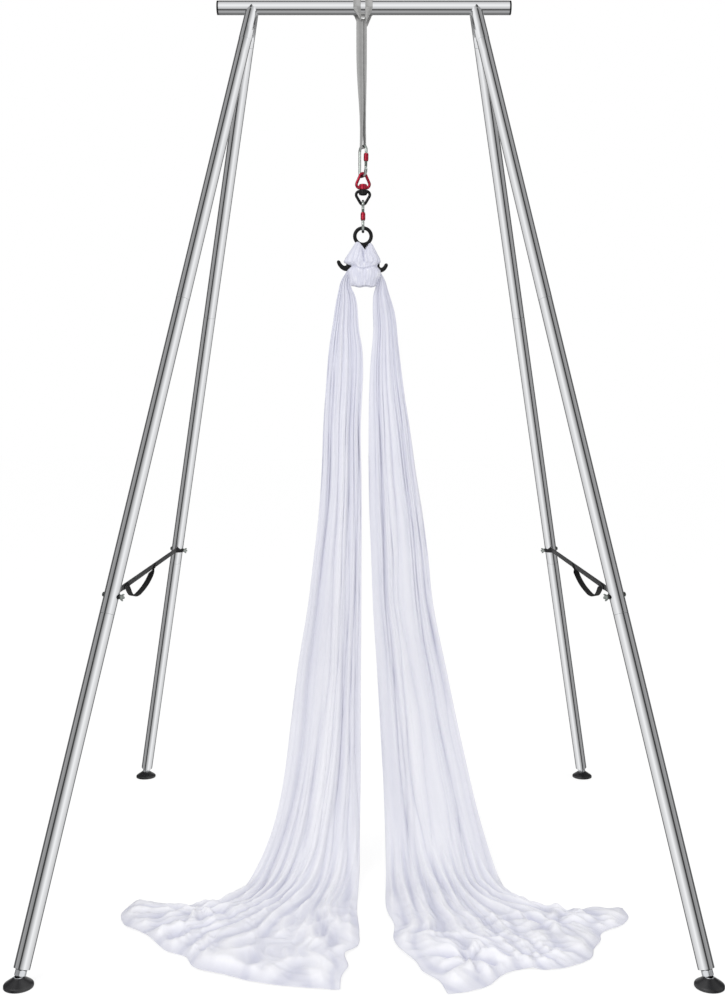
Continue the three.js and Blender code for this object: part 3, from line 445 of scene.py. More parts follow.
def webbing(colours, name, colour, rib, sheen):
    """Woven polyester webbing: ribs across the band, finer warp lines along it, matt with a faint sheen.

    rib is the spacing of the weft in metres, about 1.1 mm, drawn a little coarser to show.
    """
    base = getattr(colours, colour)
    made, tree, shader = start_finish(name, Roughness=0.72, IOR=1.57, Sheen_Weight=sheen,
                                      Sheen_Roughness=0.4, Specular_IOR_Level=1.6 * sheen)
    weave = node(tree, "ShaderNodeMath", settings={"operation": "MULTIPLY"},
                 links={0: bands(tree, "Y", 1 / (rib * pi), 0.4),
                        1: bands(tree, "X", 1 / (rib * 2 * pi), 0.3)}).outputs[0]
    dust = blotches(tree, object_space(tree), 60, 0.0, 0.35)
    tone = node(tree, "ShaderNodeMath", settings={"operation": "ADD"}, links={0: weave, 1: dust}).outputs[0]
    tree.links.new(tint(tree, tone, scaled(base, 0.62), scaled(base, 1.35)), shader.inputs["Base Color"])
    bump(tree, shader, weave, 0.0003)
    return made


WEBBINGS = {
    # Dusty side straps, blacker hand loops and the sling's coarser grey weave
    "strap": ("charcoal polyester webbing", "strap", 1.6 * MM, 0.08),
    "loop": ("black polyester webbing", "hand_loop", 1.6 * MM, 0.04),
    "sling": ("grey polyester webbing", "sling", 1.9 * MM, 0.25),
}


def nylon_silk(colours):
    """Low-stretch nylon tricot: white, with lavender shade painted into the colour where folds keep the light
    out, and a satin sheen.

    Wales run down the cloth 0.7 mm apart, drawn at 2.5 mm so that they show.
    """
    made, tree, shader = start_finish("white nylon tricot", Roughness=0.48, IOR=1.53, Sheen_Weight=0.3,
                                      Sheen_Roughness=0.35, Sheen_Tint=rgba(colours.silk))
    # Painted shade: the fold depths that the hitch and tails store darken the colour towards the shade colour
    painted_shade = node(tree, "ShaderNodeAttribute", settings={"attribute_name": "valley"}).outputs["Fac"]
    cloud = blotches(tree, object_space(tree), 9, -0.12, 0.12)
    # Painted fold shade plus a random clouding of the tone
    deep = node(tree, "ShaderNodeMath", settings={"operation": "ADD", "use_clamp": True},
                links={0: painted_shade, 1: cloud}).outputs[0]
    tree.links.new(tint(tree, deep, colours.silk, colours.silk_painted_shade), shader.inputs["Base Color"])
    bump(tree, shader, bands(tree, "X", 1 / (0.0025 * pi), 0.6), 0.00012)
    return made


# What a user would change

def length(name, description, default):
    """A length in metres that can't be negative."""
    return FloatProperty(name=name, description=description, default=default, min=0.0, unit="LENGTH",
                         precision=4)


def colour(name, description, code):
    """A colour given as sRGB hex."""
    return FloatVectorProperty(name=name, description=description, default=linear(code), subtype="COLOR",
                               min=0.0, max=1.0)


class RigFrameSizes(PropertyGroup):
    """Sizes of the frame's small shapes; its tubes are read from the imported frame."""
    tube_edge: length("Tube edge", "Rounding of the tubes' ends", 0.8 * MM)
    bolt_radius: length("Bolt", "Radius of the bolts through the leg joints", 4 * MM)
    bolt_head: length("Bolt head", "Radius of the bolts' domed heads", 7.5 * MM)
    wing_span: length("Wing span", "Width across a wing nut", 23 * MM)
    collar_radius: length("Plug collar", "Radius of the plug's collar under a leg", 16.5 * MM)
    nut_flats: length("Lock nut", "Width across the lock nut's flats", 29 * MM)
    pad_rim: length("Pad rim", "Height of a foot pad's upright rim", 7 * MM)
    strap_width: length("Strap width", "Width of the side straps", 20 * MM)
    strap_thickness: length("Strap thickness", "Thickness of the side straps", 3 * MM)
    loop_start: length("Hand loop start", "From the front bolt to the hand loop", 178 * MM)
    loop_length: length("Hand loop length", "Along the strap from end to end of the hand loop", 545 * MM)
    loop_drop: length("Hand loop drop", "How far the hand loop hangs below the strap", 64 * MM)


class RigRiggingSizes(PropertyGroup):
    """Sizes of the sling, carabiners, swivel and figure-eight."""
    sling_width: length("Sling width", "Width of the sling's webbing", 25 * MM)
    sling_thickness: length("Sling thickness", "Thickness of the sling's webbing", 3 * MM)
    band_spacing: length("Band spacing", "Between the sling's two bands on the crossbar", 41 * MM)
    carabiner_rod: length("Carabiner rod", "Radius of a carabiner's rod", 4.75 * MM)
    gate_radius: length("Gate", "Radius of a carabiner's gate", 4.4 * MM)
    sleeve_radius: length("Lock sleeve", "Outer radius of a lock sleeve", 8.25 * MM)
    eye_rod: length("Swivel rod", "Radius of the rod of the swivel's eyes", 4.9 * MM)
    boss_radius: length("Swivel boss", "Radius of the swivel's bosses", 11 * MM)
    figure_rod: length("Figure-eight rod", "Radius of the figure-eight's rod", 6.35 * MM)


class RigSilkSizes(PropertyGroup):
    """How the silk folds and lies."""
    cloth: length("Cloth", "Thickness drawn for the folded silk", 1.2 * MM)
    hang_fold: length("Hanging folds", "Depth of the folds where the silk hangs", 12 * MM)
    pool_fold: length("Pool folds", "Height of the folds on the floor", 30 * MM)
    crumple: length("Crumples", "Height of the creases near the hem", 12 * MM)
    hitch_pleat: length("Hitch pleats", "Depth of the pleats of the hitch", 2.6 * MM)


class RigColours(PropertyGroup):
    """Colours of the finishes."""
    chrome: colour("Chrome", "Chromed tubes", "#f1f2f4")
    zinc: colour("Zinc plate", "Bolts, nuts and studs", "#e0e2e5")
    forged: colour("Forged steel", "Carabiners", "#9aa09c")
    red_anodise: colour("Red anodise", "Lock sleeves and the swivel's upper eye", "#8d0a26")
    black_anodise: colour("Black anodise", "Swivel's lower eye and figure-eight", "#0b0b0c")
    plastic: colour("Black plastic", "End caps and leg plugs", "#141416")
    rubber: colour("Rubber", "Foot pads", "#151517")
    strap: colour("Side strap", "Webbing of the side straps", "#2c2c2d")
    hand_loop: colour("Hand loop", "Webbing of the hand loops", "#0e0e0f")
    sling: colour("Sling", "Webbing of the sling", "#9b9b9a")
    silk: colour("Silk", "Silk in the light", "#f1f1f6")
    # Colour that the painted fold shade darkens the silk to
    silk_painted_shade: colour("Silk shade", "Silk deep in its folds", "#cfd0de")


class RigStage(PropertyGroup):
    """Light of the studio."""
    world: FloatProperty(name="World light", description="Strength of the even light", default=0.8, min=0.0)
    key: FloatProperty(name="Key light", description="Power of the large front lamp", default=95.0,
                       min=0.0, unit="POWER")
    fill: FloatProperty(name="Fill light", description="Power of the side lamp", default=30.0, min=0.0,
                        unit="POWER")


# Finishes made so far, by key
made_finishes = {}


def finish(key):
    """The material of that key, made when first asked for."""
    colours = bpy.context.scene.rig_colours
    if key not in made_finishes:
        if key in SOLID_FINISHES:
            made = solid_finish(colours, **SOLID_FINISHES[key])
        elif key in WEBBINGS:
            made = webbing(colours, *WEBBINGS[key])
        else:
            made = nylon_silk(colours)
        made_finishes[key] = made
    return made_finishes[key]


# Stage

CAMERA_AT = (0.0, -4.084, 1.5145)

# Painted reflections: strips on a sleeve round each chromed tube, seen only in the chrome, as (angle on the
# tube from the direction to the camera, level). They stand for a dark edge, a grey wall, a black flag and a
# large softbox that falls off to one side. The angle counts downwards on the bar and towards the rig's middle
# on a leg.
BAR_TONES = [(-90, 0.1), (-57, 0.1), (-57, 0.4), (-20, 1.0), (8, 0.5), (8, 0.1), (21, 0.1), (21, 0.4),
             (38, 0.4), (45, 0.2), (90, 0.1)]
LEG_TONES = [(-90, 0.7), (-75, 0.5), (-75, 0.1), (-52, 0.1), (-52, 0.4), (-24, 0.3), (-24, 0.05),
             (-13, 0.05), (-13, 0.25), (18, 1.0), (63, 0.5), (63, 0.1), (76, 0.1), (76, 0.5), (90, 0.7)]


def place_camera():
    """Camera level at 1.51 m in front of the rig; the shift gives the photograph's framing."""
    camera = bpy.data.objects.new("camera", bpy.data.cameras.new("camera"))
    camera.location = CAMERA_AT
    camera.rotation_euler = (pi / 2, 0, 0)
    camera.data.lens = 42.76
    camera.data.shift_x = -0.0015
    camera.data.shift_y = -0.0816
    bpy.context.scene.collection.objects.link(camera)
    bpy.context.scene.camera = camera


def seen_directly(tree):
    """1 for camera, glossy and transmission rays, so that metal and glass show the white studio too."""
    path = node(tree, "ShaderNodeLightPath")
    total = path.outputs["Is Camera Ray"]
    for ray in ("Is Glossy Ray", "Is Transmission Ray"):
        total = node(tree, "ShaderNodeMath", settings={"operation": "ADD", "use_clamp": True},
                     links={0: total, 1: path.outputs[ray]}).outputs[0]
    return total


def light_world(strength):
    """White where it is seen, and an even light of the given strength on surfaces."""
    world = bpy.data.worlds.new("studio")
    world.use_nodes = True
    bpy.context.scene.world = world
    tree = world.node_tree
    level = node(tree, "ShaderNodeMapRange", values={"To Min": strength, "To Max": 1.0},
                 links={"Value": seen_directly(tree)}).outputs["Result"]
    back = tree.nodes["Background"]
    back.inputs["Color"].default_value = (1, 1, 1, 1)
    tree.links.new(level, back.inputs["Strength"])


def softbox(name, place, aim, size, power):
    """A square area lamp at a place, facing a point."""
    lamp = bpy.data.lights.new(name, "AREA")
    lamp.size = size
    lamp.energy = power
    made = bpy.data.objects.new(name, lamp)
    made.location = place
    x, y, z = np.array(aim) - np.array(place)
    made.rotation_euler = (np.arctan2(np.hypot(x, y), -z), 0, np.arctan2(y, x) - pi / 2)
    bpy.context.scene.collection.objects.link(made)
    made.light_linking.receiver_collection = unlit_group()


def unlit_group():
    """Pieces that the lamps leave out: the chrome, which only mirrors the stage and the painted reflection
    strips round it.
    """
    name = "mirrors only"
    return bpy.data.collections.get(name) or bpy.data.collections.new(name)


def mirror_only(piece):
    """Keeps the lamps off a chromed piece."""
    group = unlit_group()
    group.objects.link(piece)
    for member in group.collection_objects:
        member.light_linking.link_state = "EXCLUDE"


def stage_surface(name, points, faces, material):
    """A surface of the stage."""
    mesh = bpy.data.meshes.new(name)
    mesh.from_pydata(points, [], faces)
    mesh.materials.append(material)
    made = bpy.data.objects.new(name, mesh)
    bpy.context.scene.collection.objects.link(made)
    return made


def bare_material(name):
    """A material without its usual shader, and its node tree."""
    made = bpy.data.materials.new(name)
    made.use_nodes = True
    tree = made.node_tree
    tree.nodes.remove(tree.nodes["Principled BSDF"])
    return made, tree


def floor_finish():
    """Pale floor: mostly its own white where it is seen, with enough shading left to keep a soft shadow."""
    made, tree = bare_material("pale studio floor")
    paint = node(tree, "ShaderNodeBsdfDiffuse", values={"Color": (0.9, 0.9, 0.9, 1)})
    glow = node(tree, "ShaderNodeEmission", values={"Color": (1, 1, 1, 1), "Strength": 1.09})
    share = node(tree, "ShaderNodeMath", settings={"operation": "MULTIPLY"}, values={1: 0.75},
                 links={0: seen_directly(tree)}).outputs[0]
    blend = node(tree, "ShaderNodeMixShader", links={0: share, 1: paint.outputs[0], 2: glow.outputs[0]})
    tree.links.new(blend.outputs[0], tree.nodes["Material Output"].inputs["Surface"])
    return made


def mirror_finish():
    """Glow by the point attribute "level", for what only mirrors see; made when first asked for."""
    name = "studio reflections"
    if name in bpy.data.materials:
        return bpy.data.materials[name]
    made, tree = bare_material(name)
    level = node(tree, "ShaderNodeAttribute", settings={"attribute_name": "level"}).outputs["Fac"]
    glow = node(tree, "ShaderNodeEmission", values={"Color": (1, 1, 1, 1)}, links={"Strength": level})
    tree.links.new(glow.outputs[0], tree.nodes["Material Output"].inputs["Surface"])
    made.cycles.emission_sampling = "NONE"
    return made


def store_levels(mesh, name, levels):
    """Keeps one number a point as an attribute."""
    layer = mesh.attributes.new(name, "FLOAT", "POINT")
    layer.data.foreach_set("value", np.ravel(levels).astype(np.float32))


def mirrored(name, points, faces, levels):
    """A surface seen by glossy rays alone: stage cards for the studio's dark gaps and pale walls in the
    chrome, and the painted reflection strips round the tubes.
    """
    made = stage_surface(name, points, faces, mirror_finish())
    store_levels(made.data, "level", levels)
    for ray in ("camera", "diffuse", "shadow", "transmission", "volume_scatter"):
        setattr(made, f"visible_{ray}", False)


def upright_card(name, start, end, low, high, level):
    """A standing card between two floor points."""
    mirrored(name, [(*start, low), (*end, low), (*end, high), (*start, high)], [(0, 1, 2, 3)], [level] * 4)


def halo(name, stations, axis, side, tube, radius, bands):
    """Painted reflection: glowing strips on a sleeve round a tube, seen only in its chrome, each a line of
    (angle on the tube, level), two at one angle for a sharp edge.

    A ray from the camera that meets the tube at an angle leaves at twice the angle, and meets the strips'
    circle at that less the arcsine of the angle's sine times the tube's radius over the circle's.
    """
    to_camera = np.array(CAMERA_AT) - stations
    facing = unit(to_camera - (to_camera @ axis)[:, None] * axis)
    side = side * unit(np.cross(axis, facing))
    angles, levels = np.array(bands, float).T
    met = np.radians(angles)[None]
    radius = np.broadcast_to(radius, (len(stations),))[:, None]
    turned = (2 * met - np.arcsin(tube / radius * np.sin(met)))[..., None]
    spokes = np.cos(turned) * facing[:, None] + np.sin(turned) * side[:, None]
    lines = stations[:, None] + radius[..., None] * spokes
    ids = np.arange(lines.shape[0] * lines.shape[1]).reshape(lines.shape[:2])
    faces = quads_of(ids)[:, np.diff(angles) > 1e-6].reshape(-1, 4)
    mirrored(name, lines.reshape(-1, 3), faces.tolist(), np.tile(levels, len(stations)))


class RIG_OT_stage(Operator):
    """Camera, lamps, pale floor, the cards that the chrome mirrors and the painted reflection strips round
    its tubes
    """
    bl_idname = "rig.stage"
    bl_label = "Stage"

    def execute(self, context):
        stage = context.scene.rig_stage
        context.scene.view_settings.view_transform = "Standard"
        place_camera()
        light_world(stage.world)
        softbox("key_softbox", (-2.6, -3.6, 4.2), (0, 0, 1.0), 2.6, stage.key)
        softbox("fill_softbox", (3.6, -2.2, 2.6), (0, 0, 1.2), 2.2, stage.fill)
        far = 40.0
        floor = stage_surface("floor", [(-far, -far, 0), (far, -far, 0), (far, far, 0), (-far, far, 0)],
                              [(0, 1, 2, 3)], floor_finish())
        floor.visible_glossy = False
        upright_card("dark_back", (-7, 2.2), (7, 2.2), -1.0, 4.9, 0.03)
        for x, name in ((-2.2, "left"), (2.2, "right")):
            upright_card(f"grey_wall_{name}", (x, -3.0), (x, 2.2), 1.7, 2.7, 0.3)
        # Painted reflections: sleeves of strips just round the crossbar and each leg, seen only in the chrome
        ends = np.linspace((-0.55, 0, BAR_AXIS), (0.55, 0, BAR_AXIS), 12)
        halo("round_bar", ends, np.array([1.0, 0, 0]), 1, BAR_RADIUS, BAR_RADIUS + 5 * MM, BAR_TONES)
        for name, side_x, _ in CORNERS:
            place, ball, _ = leg_place(name, side_x)
            down = np.linspace(0.0, 1.04, 40)
            stations = mix(place[0], ball, down[:, None])
            # Near the crossbar the circle keeps clear of the leg behind
            apart = np.abs(stations[:, 1]) - 1 * MM
            radius = np.clip(apart, LEG_RADIUS + 1.5 * MM, 0.08)
            halo(f"round_leg_{name}", stations, place[3], -side_x, LEG_RADIUS, radius, LEG_TONES)
        return {"FINISHED"}


# Crossbar and legs

def leg_place(name, side_x):
    """A leg's own axes: origin where its axis meets the crossbar's, X outwards and Z up the leg."""
    ball = np.array(JOINTS[f"pad_tilt_{name}"]["pos_m"], float)
    up = -unit(np.array(JOINTS[f"foot_level_{name}"]["axis"], float))
    total = (BAR_AXIS - ball[2]) / up[2]
    out = unit(np.array([side_x, 0.0, 0.0]) - side_x * up[0] * up)
    return place_at(ball + up * total, out, np.cross(up, out), up), ball, total - STUD_REACH


def tube_profile(start, end):
    """A leg tube between two distances down the leg, with a swaged spigot above its shoulder."""
    bore = LEG_RADIUS - TUBE_WALL
    plug = bore - SEAT_GAP
    inner = plug - TUBE_WALL
    return [
        (inner, SPIGOT - start), (inner, -start - TUBE_WALL), (bore, -start - 2 * TUBE_WALL), (bore, -end),
        (LEG_RADIUS, -end), (LEG_RADIUS, -start), (plug, -start), (plug, SPIGOT - start),
    ]


def socket_shell(place, side_y, edge, sides=64):
    """A socket: each line of its wall runs up to where it first meets the crossbar, the opposite socket's
    mitre or the crossbar's level."""
    a = circle(sides)
    up = place[3]
    clear = BAR_RADIUS + SEAT_GAP

    def top(radius):
        y, z = put(np.stack([radius * np.cos(a), radius * np.sin(a), 0 * a], 1), place).T[1:]
        z = z - BAR_AXIS
        square = up[1] ** 2 + up[2] ** 2
        half = (y * up[1] + z * up[2]) / square
        inside = half ** 2 - (y ** 2 + z ** 2 - clear ** 2) / square
        saddle = np.where(inside > 0, -half - np.sqrt(np.maximum(inside, 0)), 1.0)
        mitre = (side_y * SEAT_GAP / 2 - y) / up[1]
        return np.minimum(np.minimum(saddle, mitre), -z / up[2])

    def row(radius, height):
        return np.stack([radius * np.cos(a), radius * np.sin(a), height * np.ones(sides)], -1)

    bore = LEG_RADIUS - TUBE_WALL
    foot = -SOCKET_LENGTH
    rows = [
        row(bore, foot), row(LEG_RADIUS - edge, foot), row(LEG_RADIUS - 0.3 * edge, foot + 0.3 * edge),
        row(LEG_RADIUS, foot + edge), row(LEG_RADIUS, top(LEG_RADIUS)), row(bore, top(bore)),
    ]
    return skin(put(np.stack(rows), place), around=True, along=True)


class RIG_OT_crossbar(Operator):
    """Chromed crossbar and its two push-in end caps"""
    bl_idname = "rig.crossbar"
    bl_label = "Crossbar"

    def execute(self, context):
        sizes = context.scene.rig_frame
        half = BAR_HIGH[0]
        middle = along_x(place_at((0, 0, BAR_AXIS)))
        bore = BAR_RADIUS - TUBE_WALL
        tube = [(bore, -half), (BAR_RADIUS, -half), (BAR_RADIUS, half), (bore, half)]
        make_piece("chromed_crossbar", [lathe(tube, middle, 96, True, sizes.tube_edge)], "chrome",
                   ["crossbar_tube"])
        low, high = corners_of("end_cap_right")
        top = high[0] + 1.5 * MM
        neck, rim = bore - SEAT_GAP, half + SEAT_GAP
        plug = [(neck, low[0]), (neck, rim), (BAR_RADIUS, rim), (BAR_RADIUS, top), (BAR_RADIUS / 3, top)]
        for name, side in (("left", -1), ("right", 1)):
            place = np.vstack([middle[:3], side * middle[3:]])
            make_piece(f"end_cap_{name}_moulding", [lathe(plug, place, 64, edge=1.6 * MM)], "plastic",
                       [f"end_cap_{name}"])
        return {"FINISHED"}


class RIG_OT_legs(Operator):
    """Sockets and the three tubes of each leg"""
    bl_idname = "rig.legs"
    bl_label = "Leg tubes"

    def execute(self, context):
        edge = context.scene.rig_frame.tube_edge
        upper = SOCKET_LENGTH + SEAT_GAP
        middle = upper + UPPER_LENGTH + SEAT_GAP
        lower = middle + MIDDLE_LENGTH + SEAT_GAP
        for name, side_x, side_y in CORNERS:
            place, _, total = leg_place(name, side_x)
            make_piece(f"chromed_socket_{name}", [socket_shell(place, side_y, edge)], "chrome",
                       [f"leg_socket_{name}"])
            runs = (("upper", upper, middle - SEAT_GAP), ("middle", middle, lower - SEAT_GAP),
                    ("lower", lower, total))
            for part, start, end in runs:
                tube = lathe(tube_profile(start, end), place, 64, True, edge)
                make_piece(f"chromed_{part}_leg_{name}", [tube], "chrome", [f"{part}_leg_{name}"])
        return {"FINISHED"}


def bolt_place(place):
    """The bolt's place on a leg: on its axis, level with the hole, third axis outwards."""
    station = SOCKET_LENGTH + UPPER_LENGTH + MIDDLE_LENGTH + 3 * SEAT_GAP - BOLT_ABOVE_SEAM
    return along_x(moved(place, z=-station))


def wing_shells(place, sizes, seat):
    """A wing nut: a round tapered hub and two ears with rounded rims, each ear a bevelled prism."""
    inner = np.vstack([place[:3], -place[3:]])
    bore, top = sizes.bolt_radius, seat + 8 * MM
    hub = [(bore, seat), (7 * MM, seat), (6 * MM, top), (bore, top)]
    reach = sizes.wing_span / 2 / MM
    ear = mm((4, 0.5), (6.5, 0.5), (reach - 1, 5), (reach, 9.5), (reach - 3, 11), (6.5, 9.8), (4, 6.5))
    flat = upright(moved(inner, z=seat))
    ears = [prism(fillet(ear * [side, 1], 2.2 * MM, closed=True, steps=4), flat, 2.8 * MM, 0.7 * MM)
            for side in (-1, 1)]
    return [lathe(hub, inner, 36, True, 0.8 * MM)] + ears


class RIG_OT_leg_fasteners(Operator):
    """Bolts through the lower leg joints and their wing nuts"""
    bl_idname = "rig.leg_fasteners"
    bl_label = "Bolts and wing nuts"

    def execute(self, context):
        sizes = context.scene.rig_frame
        seat = LEG_RADIUS + SEAT_GAP
        nut_seat = seat + sizes.strap_thickness + 0.7 * MM
        tip = nut_seat + 13 * MM
        shank, head = sizes.bolt_radius, sizes.bolt_head
        for name, side_x, _ in CORNERS:
            place = bolt_place(leg_place(name, side_x)[0])
            bolt = [(shank * 0.6, -tip), (shank, 1 * MM - tip), (shank, seat), (head, seat),
                    (head, seat + 1.6 * MM), (head * 0.62, seat + 4.4 * MM), (head * 0.2, seat + 5 * MM)]
            make_piece(f"domed_bolt_{name}", [lathe(bolt, place, 40, edge=1.1 * MM)], "forged",
                       [f"strap_bolt_{name}"])
            make_piece(f"winged_nut_{name}", wing_shells(place, sizes, nut_seat), "forged",
                       [f"wing_nut_{name}"])
        return {"FINISHED"}


def hexagon_shell(place, flats, low, high, bore, sides=72):
    """A chamfered hexagon nut: at each height the nearer of the hexagon and a cone at both ends."""
    a = circle(sides)
    sixth = pi / 3
    hexagon = flats / 2 / np.cos((a + sixth / 2) % sixth - sixth / 2)
    heights = np.array([low, low + 0.7 * MM, low + 1.4 * MM, high - 1.4 * MM, high - 0.7 * MM, high])
    cone = flats / 2 + np.minimum(heights - low, high - heights) * 1.2
    outer = np.minimum(hexagon[None], cone[:, None])
    inner = np.full((2, sides), bore)
    radii = np.vstack([inner[:1], outer, inner[1:]])
    levels = np.concatenate([[low], heights, [high]])[:, None] * np.ones(sides)
    rows = np.stack([radii * np.cos(a), radii * np.sin(a), levels], -1)
    return skin(put(rows, place), around=True, along=True)


class RIG_OT_feet(Operator):
    """Leg plugs, lock nuts, ball studs, rubber pads and the plated rings of their sockets"""
    bl_idname = "rig.feet"
    bl_label = "Feet"

    def execute(self, context):
        sizes = context.scene.rig_frame
        bore, thread = LEG_RADIUS - TUBE_WALL - SEAT_GAP, 6.3 * MM
        for name, side_x, _ in CORNERS:
            place, ball, total = leg_place(name, side_x)
            foot = moved(place, z=-total)
            collar = [(thread, 20 * MM), (thread, -2 * MM), (sizes.collar_radius, -2 * MM),
                      (sizes.collar_radius, 0), (bore, 0), (bore, 20 * MM)]
            make_piece(f"moulded_plug_{name}", [lathe(collar, foot, 56, True, 0.9 * MM)], "plastic",
                       [f"leg_end_plug_{name}"])
            nut = hexagon_shell(foot, sizes.nut_flats, -17.8 * MM, -2.3 * MM, thread)
            make_piece(f"hexagon_lock_nut_{name}", [nut], "zinc", [f"foot_lock_nut_{name}"])
            a = np.linspace(0.46, pi - 0.12, 14)
            globe = np.stack([9 * MM * np.sin(a), 9 * MM * np.cos(a) - STUD_REACH], 1)
            stem = mm((4, 18), (6, 17), (6, -18), (4, -21))
            make_piece(f"ball_stud_{name}", [lathe(np.vstack([stem, globe]), foot, 36)], "zinc",
                       [f"foot_stud_{name}"], f"foot_stud_{name}")
            low, high = corners_of(f"foot_pad_{name}")
            rim = (high[0] - low[0]) / 2
            ground = place_at((ball[0], ball[1], 0))
            a = np.linspace(0.52, -pi / 2 + 0.1, 10)
            cup = np.stack([9.4 * MM * np.cos(a), ball[2] + 9.4 * MM * np.sin(a)], 1)
            shoulder = (rim - 3 * MM, sizes.pad_rim + 3 * MM)
            outside = fillet([(rim * 0.2, 0), (rim, 0), (rim, sizes.pad_rim), shoulder,
                              *mm((14.5, 25), (12.5, 27.5), (9.8, 27.5))], 2 * MM, steps=4)
            rubber = lathe(np.vstack([outside, cup]), ground, 72)
            make_piece(f"rubber_pad_{name}", [rubber], "rubber", [f"foot_pad_{name}"], f"foot_pad_{name}")
            ring = mm((9.7, 22), (13.8, 22), (13, 28), (9.7, 28))
            make_piece(f"socket_ring_{name}", [lathe(ring, ground, 48, True, 0.8 * MM)], "zinc",
                       body=f"foot_pad_{name}")
        return {"FINISHED"}


# Side straps

# Share of the hand loop's length and of its drop below the strap
HAND_LOOP_SHARES = [(0, 0), (0.06, 0), (0.12, -0.14), (0.21, -0.5), (0.3, -0.78), (0.38, -0.92),
                    (0.46, -0.99), (0.55, -1), (0.74, -0.83), (0.88, -0.5), (0.94, -0.08), (1, 0)]

# Length of the sewn patch at either end of a hand loop, and spacing of its stitches
PATCH = 26 * MM
STITCH = 3 * MM


def stitch_rows(origin, along, across, out, starts, offsets):
    """Short raised stitches in rows that run along from each start at each offset across."""
    centres = np.vstack([origin + np.arange(start, start + PATCH, STITCH)[:, None] * along + offset * across
                         for start in starts for offset in offsets])
    corners = np.array([(-1, 0, 0), (-0.5, 0.28, 0.5), (0.5, 0.28, 0.5), (1, 0, 0), (0.5, -0.28, 0.5),
                        (-0.5, -0.28, 0.5), (-0.5, 0, -0.4), (0.5, 0, -0.4)]) * 1.1 * MM
    points = centres[:, None] + corners @ np.stack([along, across, out])
    quads = np.array([(1, 2, 4, 5), (6, 7, 2, 1), (5, 4, 7, 6)])
    tris = np.array([(0, 1, 5), (3, 4, 2), (0, 6, 1), (0, 5, 6), (3, 2, 7), (3, 7, 4)])
    shift = np.arange(len(centres))[:, None, None] * len(corners)
    quads, tris = (shift + quads).reshape(-1, 4), (shift + tris).reshape(-1, 3)
    return outwards((points.reshape(-1, 3), quads, np.zeros((len(quads), 4, 2)), tris))


class RIG_OT_side_straps(Operator):
    """Side straps between the legs, each with its sewn hand loop and stitching"""
    bl_idname = "rig.side_straps"
    bl_label = "Side straps"

    def execute(self, context):
        sizes = context.scene.rig_frame
        for name, side in (("left", -1), ("right", 1)):
            self.build(name, side, sizes)
        return {"FINISHED"}

    def hug(self, s, span, seat):
        """Outward shift of the strap: a circle's rise as it turns round the tube, then the tube's middle."""
        from_bolt, turned = np.minimum(s, span - s), seat * 0.93
        bend = seat - np.sqrt(seat ** 2 - np.clip(from_bolt, 0, turned) ** 2)
        rest = smooth((from_bolt - turned) / (14 * MM))
        return mix(bend, seat, rest)[:, None]

    def build(self, name, side, sizes):
        """The strap is a band whose width ends in half circles; the loop follows its shares of the drop."""
        half, thick = sizes.strap_width / 2, sizes.strap_thickness
        seat = LEG_RADIUS + SEAT_GAP + thick / 2
        legs = [bolt_place(leg_place(f"{end}_{name}", side)[0]) for end in ("front", "rear")]
        front, rear = (leg[0] - seat * leg[3] for leg in legs)
        span = np.linalg.norm(rear - front)
        along = (rear - front) / span
        both = legs[0][3] + legs[1][3]
        normal = unit(both - (both @ along) * along)
        up = np.cross(normal, along) * side
        out = np.cross(along, up)
        overhang = 3 * MM
        round_end = -np.cos(np.linspace(0, pi / 2, 8))[:-1] * half
        s = np.concatenate([round_end - overhang, np.linspace(-overhang, span + overhang, 260),
                            (span + overhang) - round_end[::-1]])
        beyond = np.clip(np.maximum(-overhang - s, s - span - overhang), 0, half * 0.998)
        path = front + s[:, None] * along + self.hug(s, span, seat) * normal
        neck = mix(0.66, 1.0, smooth(np.minimum(s, span - s) / (34 * MM)))
        outline = web_outline(2 * neck * np.sqrt(half ** 2 - beyond ** 2), thick)
        tangent = unit(np.gradient(path, axis=0))
        face = unit(np.cross(tangent, up))
        band = sweep(path, up, face, outline)
        strap = make_piece(f"side_strap_{name}_webbing", [band], "strap", [f"side_strap_{name}"])
        t = np.linspace(0, len(HAND_LOOP_SHARES) - 1, 90)
        route = through(np.arange(len(HAND_LOOP_SHARES)), HAND_LOOP_SHARES, t)
        flat = [sizes.loop_start, 0] + route * [sizes.loop_length, sizes.loop_drop]
        tangent = unit(np.gradient(flat, axis=0))
        # Sewn flat on the strap at both ends, the loop turns a quarter so that its width crosses the strap
        turn = smooth((np.minimum(route[:, 0], 1 - route[:, 0]) - 0.055) / 0.05)[:, None] * pi / 2
        layer = -side * thick * 0.9
        outboard = self.hug(np.array([span / 2]), span, seat) * normal
        path = front + outboard + flat[:, :1] * along + flat[:, 1:] * up + layer * np.cos(turn) * out
        square = -tangent[:, 1:] * along + tangent[:, :1] * up
        across = np.cos(turn) * square + np.sin(turn) * out
        loop_width = 0.95 * sizes.strap_width
        tape = sweep(path, across, np.cross(tangent[:, :1] * along + tangent[:, 1:] * up, across),
                     web_outline(loop_width, thick * 0.7))
        loop = make_piece(f"hand_loop_{name}", [tape], "loop")
        starts = [sizes.loop_start, sizes.loop_start + (sizes.loop_length - PATCH)]
        origin = front + outboard + (layer * 1.42 - side * 0.2 * MM) * out
        offsets = np.array([-0.55, -0.2, 0.2, 0.55]) * half
        stitches = stitch_rows(origin, along, up, -side * out, starts, offsets)
        make_piece(f"strap_stitching_{name}", [stitches], "dark_thread")


# Sling

def ribbon(path, across, width, thickness, wrinkle, pitch):
    """A webbing run: its section carried along a path, its faces rippled by slow waves across and along."""
    across = unit(np.broadcast_to(across, path.shape).astype(float))
    along = unit(np.gradient(path, axis=0))
    face = unit(np.cross(along, across))
    width = np.broadcast_to(width, (len(path),))
    outline = web_outline(width, thickness, 4).copy()
    s = travel(path)[:, None]
    reach = outline[..., 0] / width[:, None]
    slow = np.cos(2 * pi * reach * 1.3 + s / pitch)
    outline[..., 1] += wrinkle * np.sin(s * 2 * pi / pitch + 5 * reach) * slow
    return sweep(path, across, face, outline)


